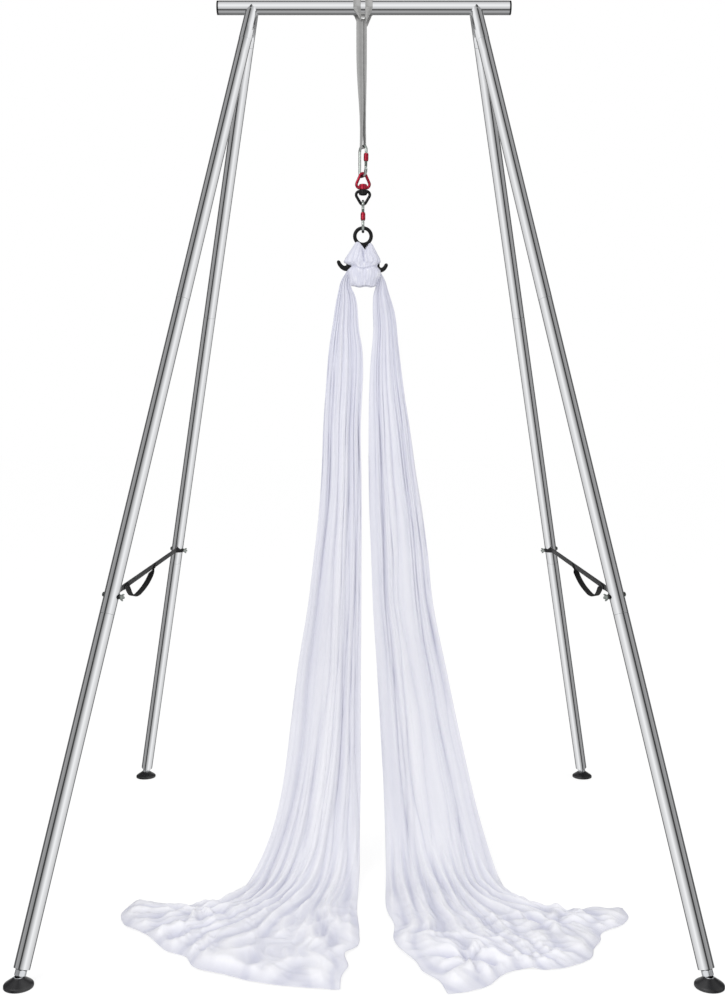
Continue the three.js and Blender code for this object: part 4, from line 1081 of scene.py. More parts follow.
class RIG_OT_sling(Operator):
    """Webbing sling hitched round the crossbar, its two bands drawn together into the strands"""
    bl_idname = "rig.sling"
    bl_label = "Sling"

    def execute(self, context):
        sizes = context.scene.rig_rigging
        place = place_at((RIG_X, 0, BAR_AXIS))
        radius = BAR_RADIUS + 0.6 * MM + sizes.sling_thickness / 2
        shells = [self.band(place, side, radius, sizes) for side in (-1, 1)]
        shells += self.bights(place, sizes.sling_width, sizes.sling_thickness) + self.strands(place, sizes)
        made = make_piece("sling_webbing", shells, "sling", ["sling"], "sling")
        return {"FINISHED"}

    def band(self, place, side, radius, sizes):
        """Over the bar from low in front to low behind, then in to the strands; the front end tapers."""
        a = np.linspace(-2.45, 2.5, 60)
        spacing = side * sizes.band_spacing / 2
        centre = np.stack([0 * a + spacing, radius * np.sin(a), radius * np.cos(a)], 1)
        front = smooth((-1.75 - a) / 0.7)[:, None]
        centre[:, :1] *= 1 - 0.12 * front
        t = np.linspace(0.05, 1, 16)[:, None]
        path = np.vstack([centre, mix(centre[-1], mm(side * 5, 3, -62), smooth(t))])
        width = sizes.sling_width * np.concatenate([1 - 0.1 * front[:, 0], np.full(len(t), 0.86)])
        return ribbon(put(path, place), place[1], width, sizes.sling_thickness, 0.5 * MM, 0.017)

    def bights(self, place, width, thick):
        """The bands' lower fronts, folded in to the strands, and the two bights that bridge them."""
        shells = []
        t = np.linspace(0, 1, 24)
        for side, foot in ((-1, -45.0), (1, -51.0)):
            x = mix(side * 20, side * mix(9, 12, side > 0), smooth(t)) * MM
            path = np.stack([x, mix(-27.3, -9, t ** 1.6) * MM, mix(-6, foot, t) * MM], 1)
            taper = width * mix(1.0, 0.12, t ** 1.4)
            shells.append(ribbon(put(path, place), place[1], taper, thick, 0.7 * MM, 0.013))
        for drop, depth, thin in ((-24.5, -19.5, 6.5), (-32.5, -12.5, 10.5)):
            x = np.linspace(-17, 13, 30)
            sag = 1.6 * np.cos(x / 12)
            path = np.stack([x, depth - sag, drop - 1.2 * np.cos(x / 10)], 1) * MM
            shells.append(ribbon(put(path, place), [0, 0.35, 1.0], thin * MM, thick, 0.3 * MM, 0.009))
        return shells

    def strands(self, place, sizes):
        """One run down in front, round the carabiner's rod and up behind, turning to face the carabiner."""
        eye = sizes.carabiner_rod + 0.9 * MM + sizes.sling_thickness / 2
        rod = JOINTS["upper_carabiner_swing"]["pos_m"][2] - BAR_AXIS
        t = np.linspace(0, 1, 70)
        ease = smooth((t - 0.25) / 0.75)[:, None]
        angle = CHAIN_TURN * ease
        lie = np.hstack([np.cos(angle), -np.sin(angle), 0 * angle])
        front = np.hstack([-np.sin(angle), -np.cos(angle), 0 * angle])
        centre = np.stack([0 * t, 0 * t, mix(-38 * MM, rod, t)], 1)
        apart = mix(1.9 * MM, eye, t[:, None] ** 3)
        down, back = (centre + side * apart * front + mix(shift * MM, 0, ease) * lie
                      for side, shift in ((1, -10.8), (-1, 1.3)))
        a = np.linspace(0, pi, 22)[1:-1, None]
        bight = [0, 0, rod] + eye * (front[-1] * np.cos(a) + [0, 0, -1] * np.sin(a))
        path = np.vstack([down, bight, back[::-1]])
        lie = np.vstack([lie, np.broadcast_to(lie[-1], bight.shape), lie[::-1]])
        wide = mix(sizes.sling_width * 0.96, 18 * MM, smooth(t * 1.2 - 0.2))
        width = np.concatenate([wide, np.full(len(bight), 18 * MM), wide[::-1]])
        return [ribbon(put(path, place), lie, width, sizes.sling_thickness, 0.25 * MM, 0.05)]


# Carabiners and swivel

def belt(circles, steps):
    """A belt round circles (x, z, radius) listed anticlockwise: x, z and outward angle on each arc."""
    x, z, r = np.asarray(circles, float).T
    dx, dz = np.roll(x, -1) - x, np.roll(z, -1) - z
    leaving = np.arctan2(dz, dx) - np.arccos((r - np.roll(r, -1)) / np.hypot(dx, dz))
    start = np.roll(leaving, 1)
    turn = (leaving - start + 4 * pi) % (2 * pi)
    angle = start[:, None] + turn[:, None] * np.linspace(0, 1, steps)
    x, z, r = x[:, None], z[:, None], r[:, None]
    return np.stack([x + r * np.cos(angle), z + r * np.sin(angle), angle], -1)


def rod_along(points, radius, place, closed=False, depth=None, sides=24):
    """A rod through flat points (x, z, outward angle) of a place's first and third axes, round or oval."""
    x, z, a = np.asarray(points, float).T
    path = put(np.stack([x, 0 * x, z], 1), place)
    out = np.stack([np.cos(a), 0 * x, np.sin(a)], 1) @ place[1:]
    radii = np.stack([radius + 0 * x, (radius if depth is None else depth) + 0 * x], 1)
    return sweep(path, out, place[2], round_outline(sides) * radii[:, None], closed)


# Length of a lock sleeve
SLEEVE = 27 * MM


def carabiner(name, place, sleeve_height, sizes):
    """Body with forked knuckle and rivet, gate with tongue and thread, knurled lock sleeve.

    The body's outline is a belt round four circles, open where the gate stands.
    """
    rod = sizes.carabiner_rod
    wide, tall = 29.5 * MM - rod, 56 * MM - rod
    nose, spine, hinge = 18 * MM, 16 * MM, 15 * MM
    arcs = belt([(wide - 4 * MM - hinge, hinge - tall, hinge), (wide - nose, tall - nose, nose),
                 (spine - wide, tall - spine, spine), (spine - wide, spine - tall, spine)], 15)
    foot, head = arcs[0, -1], arcs[1, 0]
    line = unit(head[:2] - foot[:2])
    pivot = foot[:2] + 6 * MM * line
    tip = head[:2] - 6.5 * MM * line
    lean = np.arctan2(line[0], line[1])
    gate = np.vstack([put([pivot[0], 0, pivot[1]], place),
                      [np.cos(lean), 0, -np.sin(lean)] @ place[1:], place[2],
                      [np.sin(lean), 0, np.cos(lean)] @ place[1:]])
    across = gate[[0, 3, 1, 2]]
    end = np.append(pivot - 5.2 * MM * line, foot[2])
    rounded = np.repeat([[*tip, head[2]]], 3, 0)
    rounded[:2, :2] -= np.array([[1.0], [0.6]]) * MM * line
    path = np.vstack([rounded, arcs[1], arcs[2], arcs[3], arcs[0], end])
    radii = np.full(len(path), rod)
    radii[:2] = [rod * 0.72, rod * 0.93]
    a = np.linspace(-0.3, pi + 0.3, 15)
    cheek = np.vstack([mm((-6.5, -9), (6.5, -9)), 4.9 * MM * np.stack([np.cos(a), np.sin(a)], 1)])
    cheek = cheek * [0.74, 1]
    fork = [prism(cheek, upright(moved(gate, y=side * 3.85 * MM)), 1.9 * MM, 0.35 * MM) for side in (-1, 1)]
    core = make_piece(f"{name}_forging", [rod_along(path, radii, place)] + fork, "forged", [f"{name}_body"],
                      name)
    weld_smooth(core, 0.65 * MM, 3)
    rivet = lathe(mm((2.6, -5.4), (3, -5), (3, -4.6), (1.5, -4.6), (1.5, 4.6), (3, 4.6), (3, 5),
                     (2.6, 5.4)), across, 24)
    make_piece(f"{name}_rivet", [rivet], "zinc", body=name)
    gate_length = np.hypot(*(tip - pivot))
    thread = np.linspace(9 * MM, 32 * MM, 62)
    crest = np.stack([sizes.gate_radius + 0.45 * MM * (np.arange(len(thread)) % 2), thread], 1)
    stem = np.vstack([[(3.4 * MM, 4.6 * MM), (sizes.gate_radius, 5.6 * MM)], crest,
                      [(sizes.gate_radius, 33 * MM), (sizes.gate_radius, gate_length - 1 * MM),
                       (sizes.gate_radius * 0.86, gate_length - 0.4 * MM)]])
    tongue = lathe(mm((3.7, -2.4), (4.2, -2), (4.2, 2), (3.7, 2.4)), across, 32)
    neck = prism(mm((-3.7, 0), (3.7, 0), (3.4, 7), (-3.4, 7)), upright(gate), 4.4 * MM, 0.3 * MM)
    make_piece(f"{name}_threaded_gate", [lathe(stem, gate, 32), tongue, neck], "forged", [f"{name}_gate"],
               name.replace("carabiner", "gate"))
    low = sleeve_height - SLEEVE / 2 - pivot[1]
    outer = sizes.sleeve_radius
    rim = outer - 0.9 * MM
    half = [(5.25 * MM, 0), (rim, 0), (rim, 3 * MM), (outer, 4 * MM)]
    profile = half + [(radius, SLEEVE - height) for radius, height in half[::-1]]
    turned = fillet(np.array(profile) + [0, low], 0.5 * MM, closed=True, steps=2)
    # Rows for the knurl, put in after the last point of the outer face's lower corner
    at = max(k for k, (radius, height) in enumerate(turned)
             if radius > outer - 0.01 * MM and height < low + SLEEVE / 2) + 1
    rows = np.linspace(low + 4.2 * MM, low + 22.8 * MM, 26)
    turned = np.vstack([turned[:at], np.stack([np.full(len(rows), outer), rows], 1), turned[at:]])

    def knurl(height, angle):
        """Diamond knurl 0.2 mm deep in the sleeve's middle, from two crossed helical waves."""
        share = np.clip((height - low) / SLEEVE, 0, 1)
        band = smooth((share - 0.16) * 12) * smooth((0.84 - share) * 12)
        twist = (height - low) / outer
        return -0.22 * MM * band * np.abs(np.sin(12 * (angle + twist)) * np.sin(12 * (angle - twist)))

    sleeve = lathe(turned, gate, 96, hollow=True, ripple=knurl)
    make_piece(f"{name}_knurled_sleeve", [sleeve], "red", [f"{name}_sleeve"],
               name.replace("carabiner", "sleeve"))


class RIG_OT_carabiners(Operator):
    """Upper and lower screw-lock carabiners"""
    bl_idname = "rig.carabiners"
    bl_label = "Carabiners"

    def execute(self, context):
        sizes = context.scene.rig_rigging
        sine, cosine = np.sin(CHAIN_TURN), np.cos(CHAIN_TURN)
        for name, sleeve_height, axes in (
                ("upper_carabiner", 9.5 * MM, [(cosine, -sine, 0), (sine, cosine, 0), (0, 0, 1)]),
                ("lower_carabiner", 4 * MM, [(0, -1, 0), (-1, 0, 0), (0, 0, -1)])):
            low, high = corners_of(f"{name}_body")
            carabiner(name, place_at((RIG_X, 0, (low[2] + high[2]) / 2), *axes), sleeve_height, sizes)
        return {"FINISHED"}


def swivel_eye(place, apex, arc, spacing, sizes, boss):
    """The eye is a belt round two shoulders and an apex, run from one side of the boss to the other."""
    rod = sizes.eye_rod
    foot, bend = rod + 0.15 * MM, 10.75 * MM
    arcs = belt([(-spacing / 2, foot + arc, arc), (spacing / 2, foot + arc, arc), (0, apex - bend, bend)], 17)
    ring = rod_along(np.vstack([arcs[1], arcs[2], arcs[0]]), rod, place)
    shoulder = fillet(mm((8.6, 1.5), (14.5, 2.2), (15.5, 11), (12.5, 18.2), (8.6, 18.6)), 1.5 * MM, True)
    shoulders = [prism(shoulder * [side, 1], upright(place), 13 * MM, 2 * MM) for side in (-1, 1)]
    return [ring, lathe(boss, place, 64, True, 0.9 * MM)] + shoulders


class RIG_OT_swivel(Operator):
    """Swivel: red upper eye, black lower eye, axle and thrust bearing"""
    bl_idname = "rig.swivel"
    bl_label = "Swivel"

    def execute(self, context):
        sizes = context.scene.rig_rigging
        boss, gap = sizes.boss_radius, 0.15 * MM
        upper = place_at((RIG_X, 0, SPLIT))
        lower = place_at((RIG_X, 0, SPLIT), (-1, 0, 0), (0, 1, 0), (0, 0, -1))
        red_apex = JOINTS["swivel_swing"]["pos_m"][2] - SPLIT
        black_apex = SPLIT - JOINTS["lower_carabiner_swing"]["pos_m"][2]
        open_boss = [(5.5 * MM, gap), (boss, gap), (boss, 19 * MM), *mm((8, 19), (8, 11.4), (5.5, 11.4))]
        eye = swivel_eye(upper, red_apex, 13 * MM, 19 * MM, sizes, open_boss)
        red = make_piece("swivel_red_eye", eye, "red", ["swivel_upper_eye"], "swivel_upper")
        weld_smooth(red, 0.6 * MM, 4)
        deep = [(5.4 * MM, gap), (boss, gap), (boss, 17.5 * MM), (boss - 1.5 * MM, 19 * MM),
                *mm((0.4, 19), (0.4, 9.4), (5.4, 9.4))]
        eye = swivel_eye(lower, black_apex, 12.5 * MM, 22 * MM, sizes, deep)
        black = make_piece("swivel_black_eye", eye, "black", ["swivel_lower_eye"], "swivel_lower")
        weld_smooth(black, 0.6 * MM, 4)
        head = mm((4, -8.7), (5, -7.7), (5, 15), (7.6, 15), (7.6, 18.7), (6.6, 19.5), (2.6, 19.5),
                  (2.2, 18.2))
        make_piece("swivel_axle_pin", [lathe(head, upper, 40, edge=0.35 * MM)], "zinc", ["swivel_axle"],
                   "swivel_lower")
        race = mm((5.5, 11.75), (7.6, 11.75), (7.6, 14.65), (5.5, 14.65))
        make_piece("swivel_thrust_race", [lathe(race, upper, 48, True, 0.4 * MM)], "zinc",
                   ["swivel_bearing"], "swivel_upper")
        return {"FINISHED"}


# Each ear's middle line from the big ring out to its tip, x and height in mm, and its half height there
EARS = [
    [(-38, -4, 12), (-49, -8, 12), (-61, -10.5, 9.5), (-72, -6, 7.6), (-80.5, 4, 6.9), (-86.5, 17, 6.2)],
    [(40, -9, 12), (51, -13.5, 11), (61, -16.5, 8.6), (70.5, -13, 7.4), (77.5, -4.5, 6.8), (82, 6.5, 6.2)],
]


class RIG_OT_figure_eight(Operator):
    """Figure-eight: small ring, big ring, waisted neck and two dipping ears in one forging"""
    bl_idname = "rig.figure_eight"
    bl_label = "Figure-eight"

    def execute(self, context):
        rod = context.scene.rig_rigging.figure_rod
        # In mm: the small ring's radius and height over the big one's middle, and the big one's half sizes
        ring, apart, wide, tall = 28.15, 100, 51.15, 46.15
        place = place_at((RIG_X, 0, JOINTS["figure_eight_swing"]["pos_m"][2] - (apart + ring) * MM))
        a = circle(96)
        small = np.stack([ring * np.cos(a) * MM, (apart + ring * np.sin(a)) * MM, a], 1)
        x, z = wide * np.cos(a), tall * np.sin(a)
        big = np.stack([x * MM, z * MM, np.arctan2(z * wide ** 2, x * tall ** 2)], 1)
        t = np.linspace(0, 1, 16)
        waist = mix(13, 9.5, np.sin(pi * t)) * MM
        neck = np.stack([0 * t, mix(tall, apart - ring, t) * MM, 0 * t], 1)
        shells = [rod_along(small, rod, place, closed=True), rod_along(big, rod, place, closed=True),
                  rod_along(neck, waist, place, depth=0.94 * rod, sides=28)]
        for ear in EARS:
            t = np.linspace(0, len(ear) - 1, 40)
            x, z, thick = through(np.arange(len(ear)), mm(*ear), t).T
            angle = np.arctan2(-np.gradient(x), np.gradient(z))
            half = thick * np.sqrt(np.clip((t[-1] + 0.03 - t) / 0.4, 0.02, 1))
            depth = np.minimum(half, 6.6 * MM)
            shells.append(rod_along(np.stack([x, z, angle], 1), half, place, depth=depth))
        eight = make_piece("figure_eight_forging", shells, "black", ["figure_eight"], "figure_eight")
        weld_smooth(eight, 1.0 * MM, 5)
        return {"FINISHED"}


# Silk

def waves(x, y, seed, count=7):
    """Smooth noise of about one wave per unit: plane waves of seeded directions, lengths and phases."""
    pick = np.random.default_rng(seed)
    turn, phase = pick.uniform(0, 2 * pi, (2, count))
    pitch = 2 * pi * pick.uniform(0.6, 1.5, count)
    total = sum(np.sin(pitch[k] * (x * np.cos(turn[k]) + y * np.sin(turn[k])) + phase[k])
                for k in range(count))
    return total / np.sqrt(count / 2) * 0.6


def ridges(x, y, seed):
    """Creases: one minus the size of warped noise, sharp on top and round between."""
    wx, wy = waves(x * 0.5, y * 0.5, seed + 1), waves(x * 0.5, y * 0.5, seed + 2)
    return 1 - 2 * np.abs(waves(x + 0.7 * wx, y + 0.7 * wy, seed))


def blur(field, radius, axis):
    """Rows or columns averaged with a bell of the given radius in cells, ends held."""
    reach = int(3 * radius)
    bell = np.exp(-0.5 * (np.arange(-reach, reach + 1) / radius) ** 2)
    pad = [(0, 0)] * field.ndim
    pad[axis] = (reach, reach)
    wide = np.pad(field, pad, mode="edge")
    total = sum(weight * np.take(wide, np.arange(k, k + field.shape[axis]), axis)
                for k, weight in enumerate(bell))
    return total / bell.sum()


def normals(grid):
    """Unit normals of a grid of points: the cross product of its row and column directions."""
    return unit(np.cross(np.gradient(grid, axis=1), np.gradient(grid, axis=0)))


# Hitch: height, left and right half widths and half depth, in mm, at levels from the bottom up
HITCH_LEVELS = [
    (1968, -43, 40, 30), (1976, -49, 45, 33), (1992, -53, 50, 36), (2010, -58, 56, 37), (2022, -57, 56, 36),
    (2031, -49, 49, 34), (2037, -45, 46, 33), (2043, -56, 50, 34), (2050, -68, 56, 35), (2060, -66, 55, 35),
    (2080, -54, 45, 31), (2100, -42, 35, 25), (2112, -34, 28, 20), (2119, -29, 23, 16),
]


class RIG_OT_silk_hitch(Operator):
    """Pleated hitch of the silk round the figure-eight"""
    bl_idname = "rig.silk_hitch"
    bl_label = "Silk hitch"

    def execute(self, context):
        pleat = context.scene.rig_silk.hitch_pleat
        levels = mm(*HITCH_LEVELS)
        columns, rows = 288, 150
        low, high = levels[[0, -1], 0]
        z = np.linspace(low, high, rows)
        left, right, depth = through(levels[:, 0], levels[:, 1:], z).T[..., None]
        a = circle(columns, start=-pi / 2)[None]
        c, s = np.cos(a), np.sin(a)
        squareness = 0.86
        x = np.where(c < 0, -left, right) * np.sign(c) * np.abs(c) ** squareness
        y = depth * np.sign(s) * np.abs(s) ** squareness
        h = ((z - low) / (high - low))[:, None]
        front = smooth(-s * 1.4)
        # The V between the two lobes of the collar, lower in front than the lobes' tips
        notch = np.maximum(0, 1 - np.abs(x - 4 * MM) / (24 * MM)) ** 1.2 * smooth((h - 0.62) / 0.38)
        lower = 28 * MM * notch * (0.35 + 0.65 * front)
        zz = z[:, None] - lower
        upper = smooth((h - 0.49) * 18)
        # Pleats: in the collar they run down from the neck and fan out, in the band they are few and soft
        fan = x / (left * -0.5 + right * 0.5)
        lean = 1.3 * waves(fan * 2, zz * 16, 5)
        collar = (np.sin(fan * 21 + lean) + 0.5 * np.sin(fan * 43 + 1.5 + lean)
                  + 0.3 * np.sin(fan * 77 + lean)) * 0.4
        band = 0.45 * waves(fan * 2.6, zz * 22, 9) + 0.3 * waves(x * 38, zz * 20, 11) + 0.2 * np.sin(fan * 34)
        fold = pleat * mix(band, collar, upper)
        # The groove between the lobes, the crease under the collar and the V at the bottom
        groove = -8 * MM * np.exp(-((x + 1 * MM + 0.16 * (zz - 2.06)) / (3.0 * MM)) ** 2)
        groove = groove * smooth((h - 0.47) * 9) * smooth((1.02 - h) * 6) * np.abs(s)
        crease_z = 2.036 - 0.011 * np.exp(-(x / (24 * MM)) ** 2) + 0.0012 * waves(x * 30, 0 * x, 3)
        crease = -4.2 * MM * np.exp(-((zz - crease_z) / (2.4 * MM)) ** 2) * np.abs(s)
        low_v = -3 * MM * np.exp(-(x / (2.6 * MM)) ** 2) * smooth((0.47 - h) * 9)
        low_v = low_v * smooth((h - 0.2) * 5) * np.abs(s)
        scallop = 1.6 * MM * np.sin(x * 150 + 0.8) * smooth((0.12 - h) * 12)
        push = fold + groove + crease + low_v
        radial = np.stack([x, y], -1)
        out = radial / np.maximum(np.linalg.norm(radial, axis=-1, keepdims=True), 1e-6)
        grid = np.dstack([radial + out * push[..., None], zz + scallop])
        # Both ends turn in, by shares of the radius and by heights
        ends = grid[[0, 0, -1, -1]]
        ends[..., :2] *= np.array([0.35, 0.8, 0.8, 0.4])[:, None, None]
        ends[0, :, 2] = low + 12 * MM
        ends[1:, :, 2] += mm(1.2, -1.5, -14)[:, None]
        shell = skin(np.vstack([ends[:2], grid, ends[2:]]), around=True, caps=True, reach=(0.36, 0.15))
        made = make_piece("silk_hitch_pleats", [shell], "silk", ["silk_hitch"], "figure_eight", sharp=1.4)
        # Painted shade for the colour: the whole hitch at full shade, lighter only where the pleats push the
        # cloth out
        painted_shade = (1.0 - push / (3.6 * MM))[[0, 0, *range(rows), -1, -1]]
        store_levels(made.data, "valley", np.clip(np.append(painted_shade, [0.5, 0.5]), 0, 1))
        return {"FINISHED"}


# Each tail, in mm: edges of the hanging cloth as (height, x), how far forward each edge lands, the hem from
# the inner to the outer corner, the cloth's two edges on the floor, and rosettes (x, y, radius, height)
SILK_TAILS = {
    "left": {
        "outer": [(2036, -50), (2014, -62), (1986, -79), (1955, -87), (1907, -97), (1860, -104), (1745, -121),
                  (1604, -132), (1497, -139), (1322, -146), (1181, -156), (1043, -172), (888, -190),
                  (651, -228), (450, -252), (300, -268), (179, -290), (90, -322), (0, -383)],
        "inner": [(2036, -40), (2000, -46), (1965, -45), (1941, -33), (1917, -26), (1869, -21), (1824, -18),
                  (1752, -6), (1680, -3), (1583, -7), (1497, -11), (1322, -9), (888, -9), (450, -12),
                  (0, -11)],
        "forward": (133, 301),
        "hem": [(-63, -951), (-130, -940), (-199, -929), (-299, -903), (-376, -866), (-467, -822),
                (-506, -752), (-558, -722), (-604, -660), (-645, -606), (-715, -545), (-738, -478),
                (-712, -375)],
        "inner_edge": [(-11, -133), (-22, -439), (-14, -608), (-18, -691), (-52, -742), (-44, -829),
                       (-58, -871), (-63, -951)],
        "outer_edge": [(-383, -301), (-440, -380), (-540, -425), (-620, -405), (-712, -375)],
        "rosettes": [(-507, -483, 95, 16)],
        "seed": 21,
    },
    "right": {
        "outer": [(2036, 48), (2014, 58), (1986, 73), (1955, 82), (1883, 104), (1766, 118), (1597, 139),
                  (1463, 160), (1336, 177), (1181, 202), (1043, 220), (888, 236), (651, 283), (450, 324),
                  (300, 357), (179, 383), (90, 412), (0, 442)],
        "inner": [(2036, 38), (2000, 43), (1972, 42), (1941, 33), (1917, 31), (1814, 32), (1707, 23),
                  (1604, 18), (1497, 16), (1356, 16), (1219, 18), (1005, 26), (888, 30), (651, 45), (450, 56),
                  (300, 64), (0, 80)],
        "forward": (60, 200),
        "hem": [(220, -970), (278, -957), (335, -924), (376, -869), (442, -829), (516, -833), (589, -805),
                (642, -755), (652, -715), (684, -655), (692, -615), (772, -545), (800, -495), (795, -430)],
        "inner_edge": [(80, -60), (76, -490), (89, -549), (87, -660), (106, -725), (137, -775), (165, -855),
                       (199, -897), (220, -970)],
        "outer_edge": [(442, -200), (462, -320), (500, -385), (566, -425), (640, -445), (700, -430),
                       (745, -445), (795, -430)],
        "rosettes": [(293, -800, 90, 20), (560, -560, 110, 12)],
        "seed": 47,
    },
}


def evenly(points, count):
    """A polyline in mm, smoothed and sampled at even steps, as metres."""
    points = mm(*points)
    s = travel(points)
    return through(s, points, np.linspace(0, s[-1], count))


class RIG_OT_silk_tails(Operator):
    """The silk's two tails, hanging from the hitch and pooled on the floor"""
    bl_idname = "rig.silk_tails"
    bl_label = "Silk tails"

    def execute(self, context):
        sizes = context.scene.rig_silk
        for name, tail in SILK_TAILS.items():
            self.build(name, tail, sizes)
        return {"FINISHED"}

    def build(self, name, tail, sizes):
        """Threads hang between two measured edges, bend forward and run over the floor to the hem.

        The floor part is a patch blended from its four edges. Folds are laid off along the surface's
        normals: main waves warped by noise, finer pleats near the hitch, ridged creases towards the hem.
        """
        columns, hanging, pooling = 168, 160, 128
        top = 2.034
        u = np.linspace(0, 1, columns)[None]
        z = mix(top, 0.0, np.linspace(0, 1, hanging)[:, None])
        inner, outer = (through(*mm(*tail[key][::-1]).T, z[:, 0])[:, None] for key in ("inner", "outer"))
        forward = mix(*mm(*tail["forward"]), u) * np.maximum(0, 1 - z / 0.7) ** 2
        hang = np.dstack([mix(inner, outer, u + 0 * z), -forward, z + 0 * u])
        land, hem = hang[-1], evenly(tail["hem"], columns)
        inner, outer = (evenly(tail[key], pooling + 1)[1:, None] for key in ("inner_edge", "outer_edge"))
        u2, w2 = u[..., None], np.linspace(0, 1, pooling + 1)[1:, None, None]
        corners = ((1 - u2) * (1 - w2) * land[0, :2] + u2 * (1 - w2) * land[-1, :2] + (1 - u2) * w2 * hem[0]
                   + u2 * w2 * hem[-1])
        patch = (1 - w2) * land[None, :, :2] + w2 * hem[None] + (1 - u2) * inner + u2 * outer
        base = np.vstack([hang, np.dstack([patch - corners, np.zeros((pooling, columns))])])
        # The bend at the floor is eased by averaging along the threads, less towards the outer edge
        ease = mix(blur(base, 17, 0), blur(base, 7, 0), smooth((u2 - 0.7) / 0.3))
        near = np.exp(-((np.arange(len(base)) - hanging) / 41.0) ** 4)[:, None, None]
        base = mix(base, ease, near)
        step = np.linalg.norm(np.diff(base, axis=0), axis=2).mean(1)
        s = np.concatenate([[0], np.cumsum(step)])[:, None]
        # deep is the painted shade of the folds, laid into the silk's colour
        base, deep = self.fold(base, u + 0 * s, s, tail, sizes, s[hanging])
        base[..., 2] = np.maximum(base[..., 2], sizes.cloth * 0.8 + 0.6 * MM)
        length_along, cloth_width = float(s[-1, 0]), 1.25
        made = make_piece(f"silk_tail_{name}_cloth", [skin(base, reach=(cloth_width, length_along))], "silk",
                          [f"silk_tail_{name}"], "figure_eight", sharp=3.1)
        # The painted fold shade goes into the silk's colour through this attribute
        store_levels(made.data, "valley", np.clip(deep, 0, 1))
        solid = made.modifiers.new("Cloth", "SOLIDIFY")
        solid.thickness = sizes.cloth
        solid.offset = 0
        solid.use_quality_normals = True

    def fold(self, base, u, s, tail, sizes, landing):
        """The folded cloth and the painted shade for its colour: slow warped waves across the threads, then
        creases.
        """
        seed = tail["seed"]
        rows = s - landing
        on_floor = smooth((rows + 0.12) / 0.3)
        far = smooth(rows / 0.6)
        wander = mix(0.035, 0.11, smooth((rows + 0.25) / 0.9))

        def lobes(count, warp_seed, power, drift):
            """Rounded folds with sharp valleys between them: the size of a warped sine."""
            v = u + wander * waves(u * 1.6, s * 1.1, warp_seed)
            v = v + 0.25 * wander * waves(u * 4, s * 3, warp_seed + 1)
            return 2 * np.abs(np.sin(pi * (count * v + drift * s) + warp_seed)) ** power - 1

        main = lobes(4.1, seed, 0.85, 0.05)
        second = lobes(7.7, seed + 3, 0.8, 0.11)
        fine = lobes(14.5, seed + 5, 0.8, 0.17)
        broad = np.sin(2 * pi * (1.6 * u + wander * waves(u, s, seed + 7)) + 0.7 * s + 2.0)
        # Pleats gather in bands, with smoother cloth between
        patchy = 0.2 + 0.8 * smooth(0.5 + 0.9 * waves(u * 2.3, s * 0.35, seed + 13))
        second, fine = second * patchy, fine * patchy
        mixed = 0.42 * main + 0.3 * second + 0.14 * fine + 0.34 * broad
        top = smooth((0.5 - s) / 0.5)
        hang_depth = sizes.hang_fold * mix(0.42, 1.0, smooth(s / 0.9))
        hang_depth = hang_depth * mix(1.0, 1.2, smooth((s - 1.2) / 0.7))
        hanging = hang_depth * mix(mixed, 0.3 * main + 0.3 * second + 0.25 * fine + 0.2 * broad, top)
        x, y = base[..., 0], base[..., 1]
        depth = sizes.pool_fold * mix(1.0, 0.62, far)
        creases = 0.5 + 0.5 * ridges(x * 4, y * 4, seed + 6)
        lumps = 0.5 + 0.5 * waves(x * 3.4, y * 3.4, seed + 8)
        # Long folds run on from the hanging cloth, thin and sharp on top
        runs = lobes(9.5, seed + 11, 1.0, 0.3)
        thin = lobes(19.0, seed + 12, 0.8, 0.5)
        pooled = depth * (0.5 + 0.26 * mixed - 0.26 * runs - 0.12 * thin)
        pooled = pooled + sizes.crumple * far * (0.9 * creases + 0.3 * lumps)
        pooled = pooled + 1.6 * MM * ridges(x * 9, y * 9, seed + 9) * far
        for cx, cy, reach, rise in tail["rosettes"]:
            dx, dy = x - cx * MM, y - cy * MM
            r = np.hypot(dx, dy) / (reach * MM)
            turn = np.arctan2(dy, dx)
            spokes = 0.55 * np.cos(6 * turn + 2.5 * r + seed) + 0.3 * np.cos(11 * turn - 2 * r)
            pooled = pooled + rise * MM * np.exp(-r ** 2 / 1.6) * (0.5 + smooth(r * 1.6) * spokes)
        # The hem and both edges lie flatter
        rim = np.maximum(smooth((0.05 - (s[-1] - s)) / 0.05), 0.7 * smooth((u - 0.93) / 0.07))
        rim = np.maximum(rim, 0.8 * smooth((0.05 - u) / 0.05))
        pooled = mix(pooled, 0.15 * pooled + 1.5 * MM, rim)
        push = mix(hanging, pooled, on_floor)
        # Normals towards the front, told by the hanging cloth's upper rows
        face = normals(base)
        face = unit(blur(face * -np.sign(face[:60, :, 1].mean()), 4, 0))
        folded = base + push[..., None] * face
        folded[..., 2] += 1 * MM * on_floor
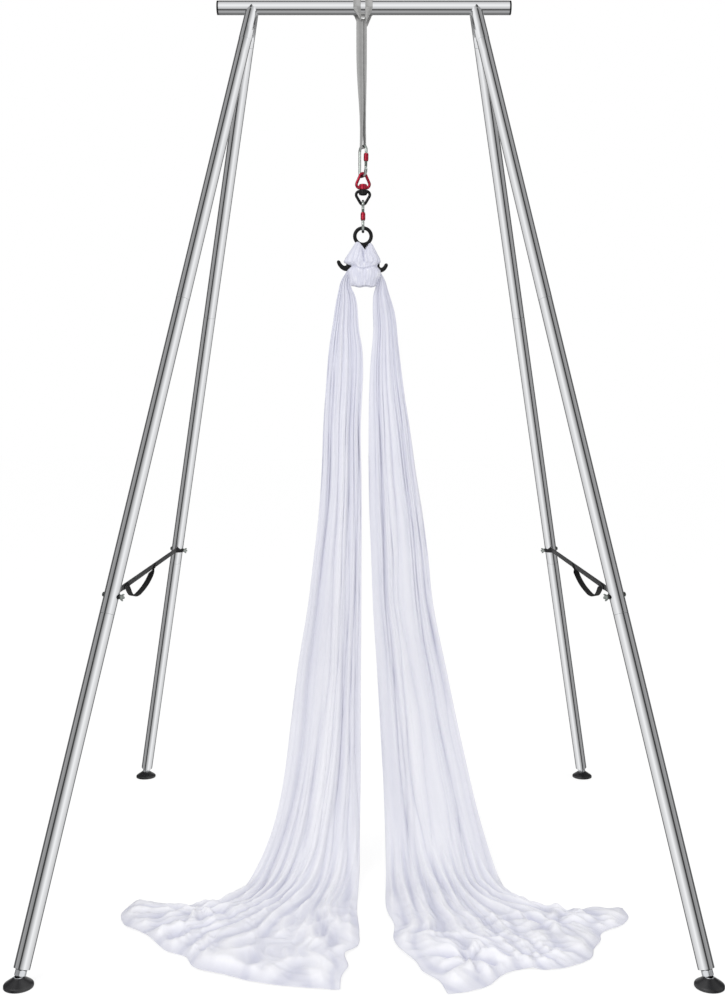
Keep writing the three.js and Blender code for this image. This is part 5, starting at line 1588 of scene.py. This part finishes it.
        # Painted shade: a base that is deeper near the hitch, more where the cloth lies lower than round
        # about
        local = blur(blur(push, 8, 1), 7, 0)
        scale = mix(hang_depth, 0.45 * depth, on_floor)
        painted_hang_shade = mix(mix(0.85, 0.52, smooth(s / 1.1)), 0.36, smooth((s - 1.0) / 0.8))
        deep = mix(painted_hang_shade, 0.38, on_floor) + mix(0.42, 0.5, on_floor) * (local - push) / scale
        # Thin lines of painted shade where two folds meet
        painted_crease_shade = np.exp(-((runs - 1) / 0.16) ** 2) * on_floor
        painted_crease_shade = painted_crease_shade + np.exp(-((second + patchy) / 0.3) ** 2) * patchy * (1 - on_floor)
        # The hanging cloth's painted shade also follows the broad waves, lighter on their crests
        return folded, deep + 0.32 * painted_crease_shade - 0.12 * broad * (1 - on_floor)


# Panel, registration and run

PROPERTY_GROUPS = {"rig_frame": RigFrameSizes, "rig_rigging": RigRiggingSizes, "rig_silk": RigSilkSizes,
                   "rig_colours": RigColours, "rig_stage": RigStage}
OPERATORS = (RIG_OT_stage, RIG_OT_crossbar, RIG_OT_legs, RIG_OT_leg_fasteners, RIG_OT_feet,
             RIG_OT_side_straps, RIG_OT_sling, RIG_OT_carabiners, RIG_OT_swivel, RIG_OT_figure_eight,
             RIG_OT_silk_hitch, RIG_OT_silk_tails)


class RIG_PT_panel(Panel):
    """Builds the rig's pieces and holds their sizes and colours"""
    bl_idname = "RIG_PT_panel"
    bl_label = "Aerial rig"
    bl_space_type = "VIEW_3D"
    bl_region_type = "UI"
    bl_category = "Rig"

    def draw(self, context):
        for operator in OPERATORS:
            self.layout.operator(operator.bl_idname)
        for key, group in PROPERTY_GROUPS.items():
            box = self.layout.box()
            for name in group.__annotations__:
                box.prop(getattr(context.scene, key), name)


def register():
    """Registers the properties, operators and panel."""
    for known in (*PROPERTY_GROUPS.values(), *OPERATORS, RIG_PT_panel):
        bpy.utils.register_class(known)
    for key, group in PROPERTY_GROUPS.items():
        setattr(bpy.types.Scene, key, PointerProperty(type=group))


def unregister():
    """Takes them out again, last first."""
    for key in PROPERTY_GROUPS:
        delattr(bpy.types.Scene, key)
    for known in (RIG_PT_panel, *reversed(OPERATORS), *reversed(PROPERTY_GROUPS.values())):
        bpy.utils.unregister_class(known)


def main():
    """Builds the whole scene."""
    register()
    for operator in OPERATORS:
        getattr(bpy.ops.rig, operator.bl_idname.split(".")[1])()


if __name__ == "__main__":
    main()
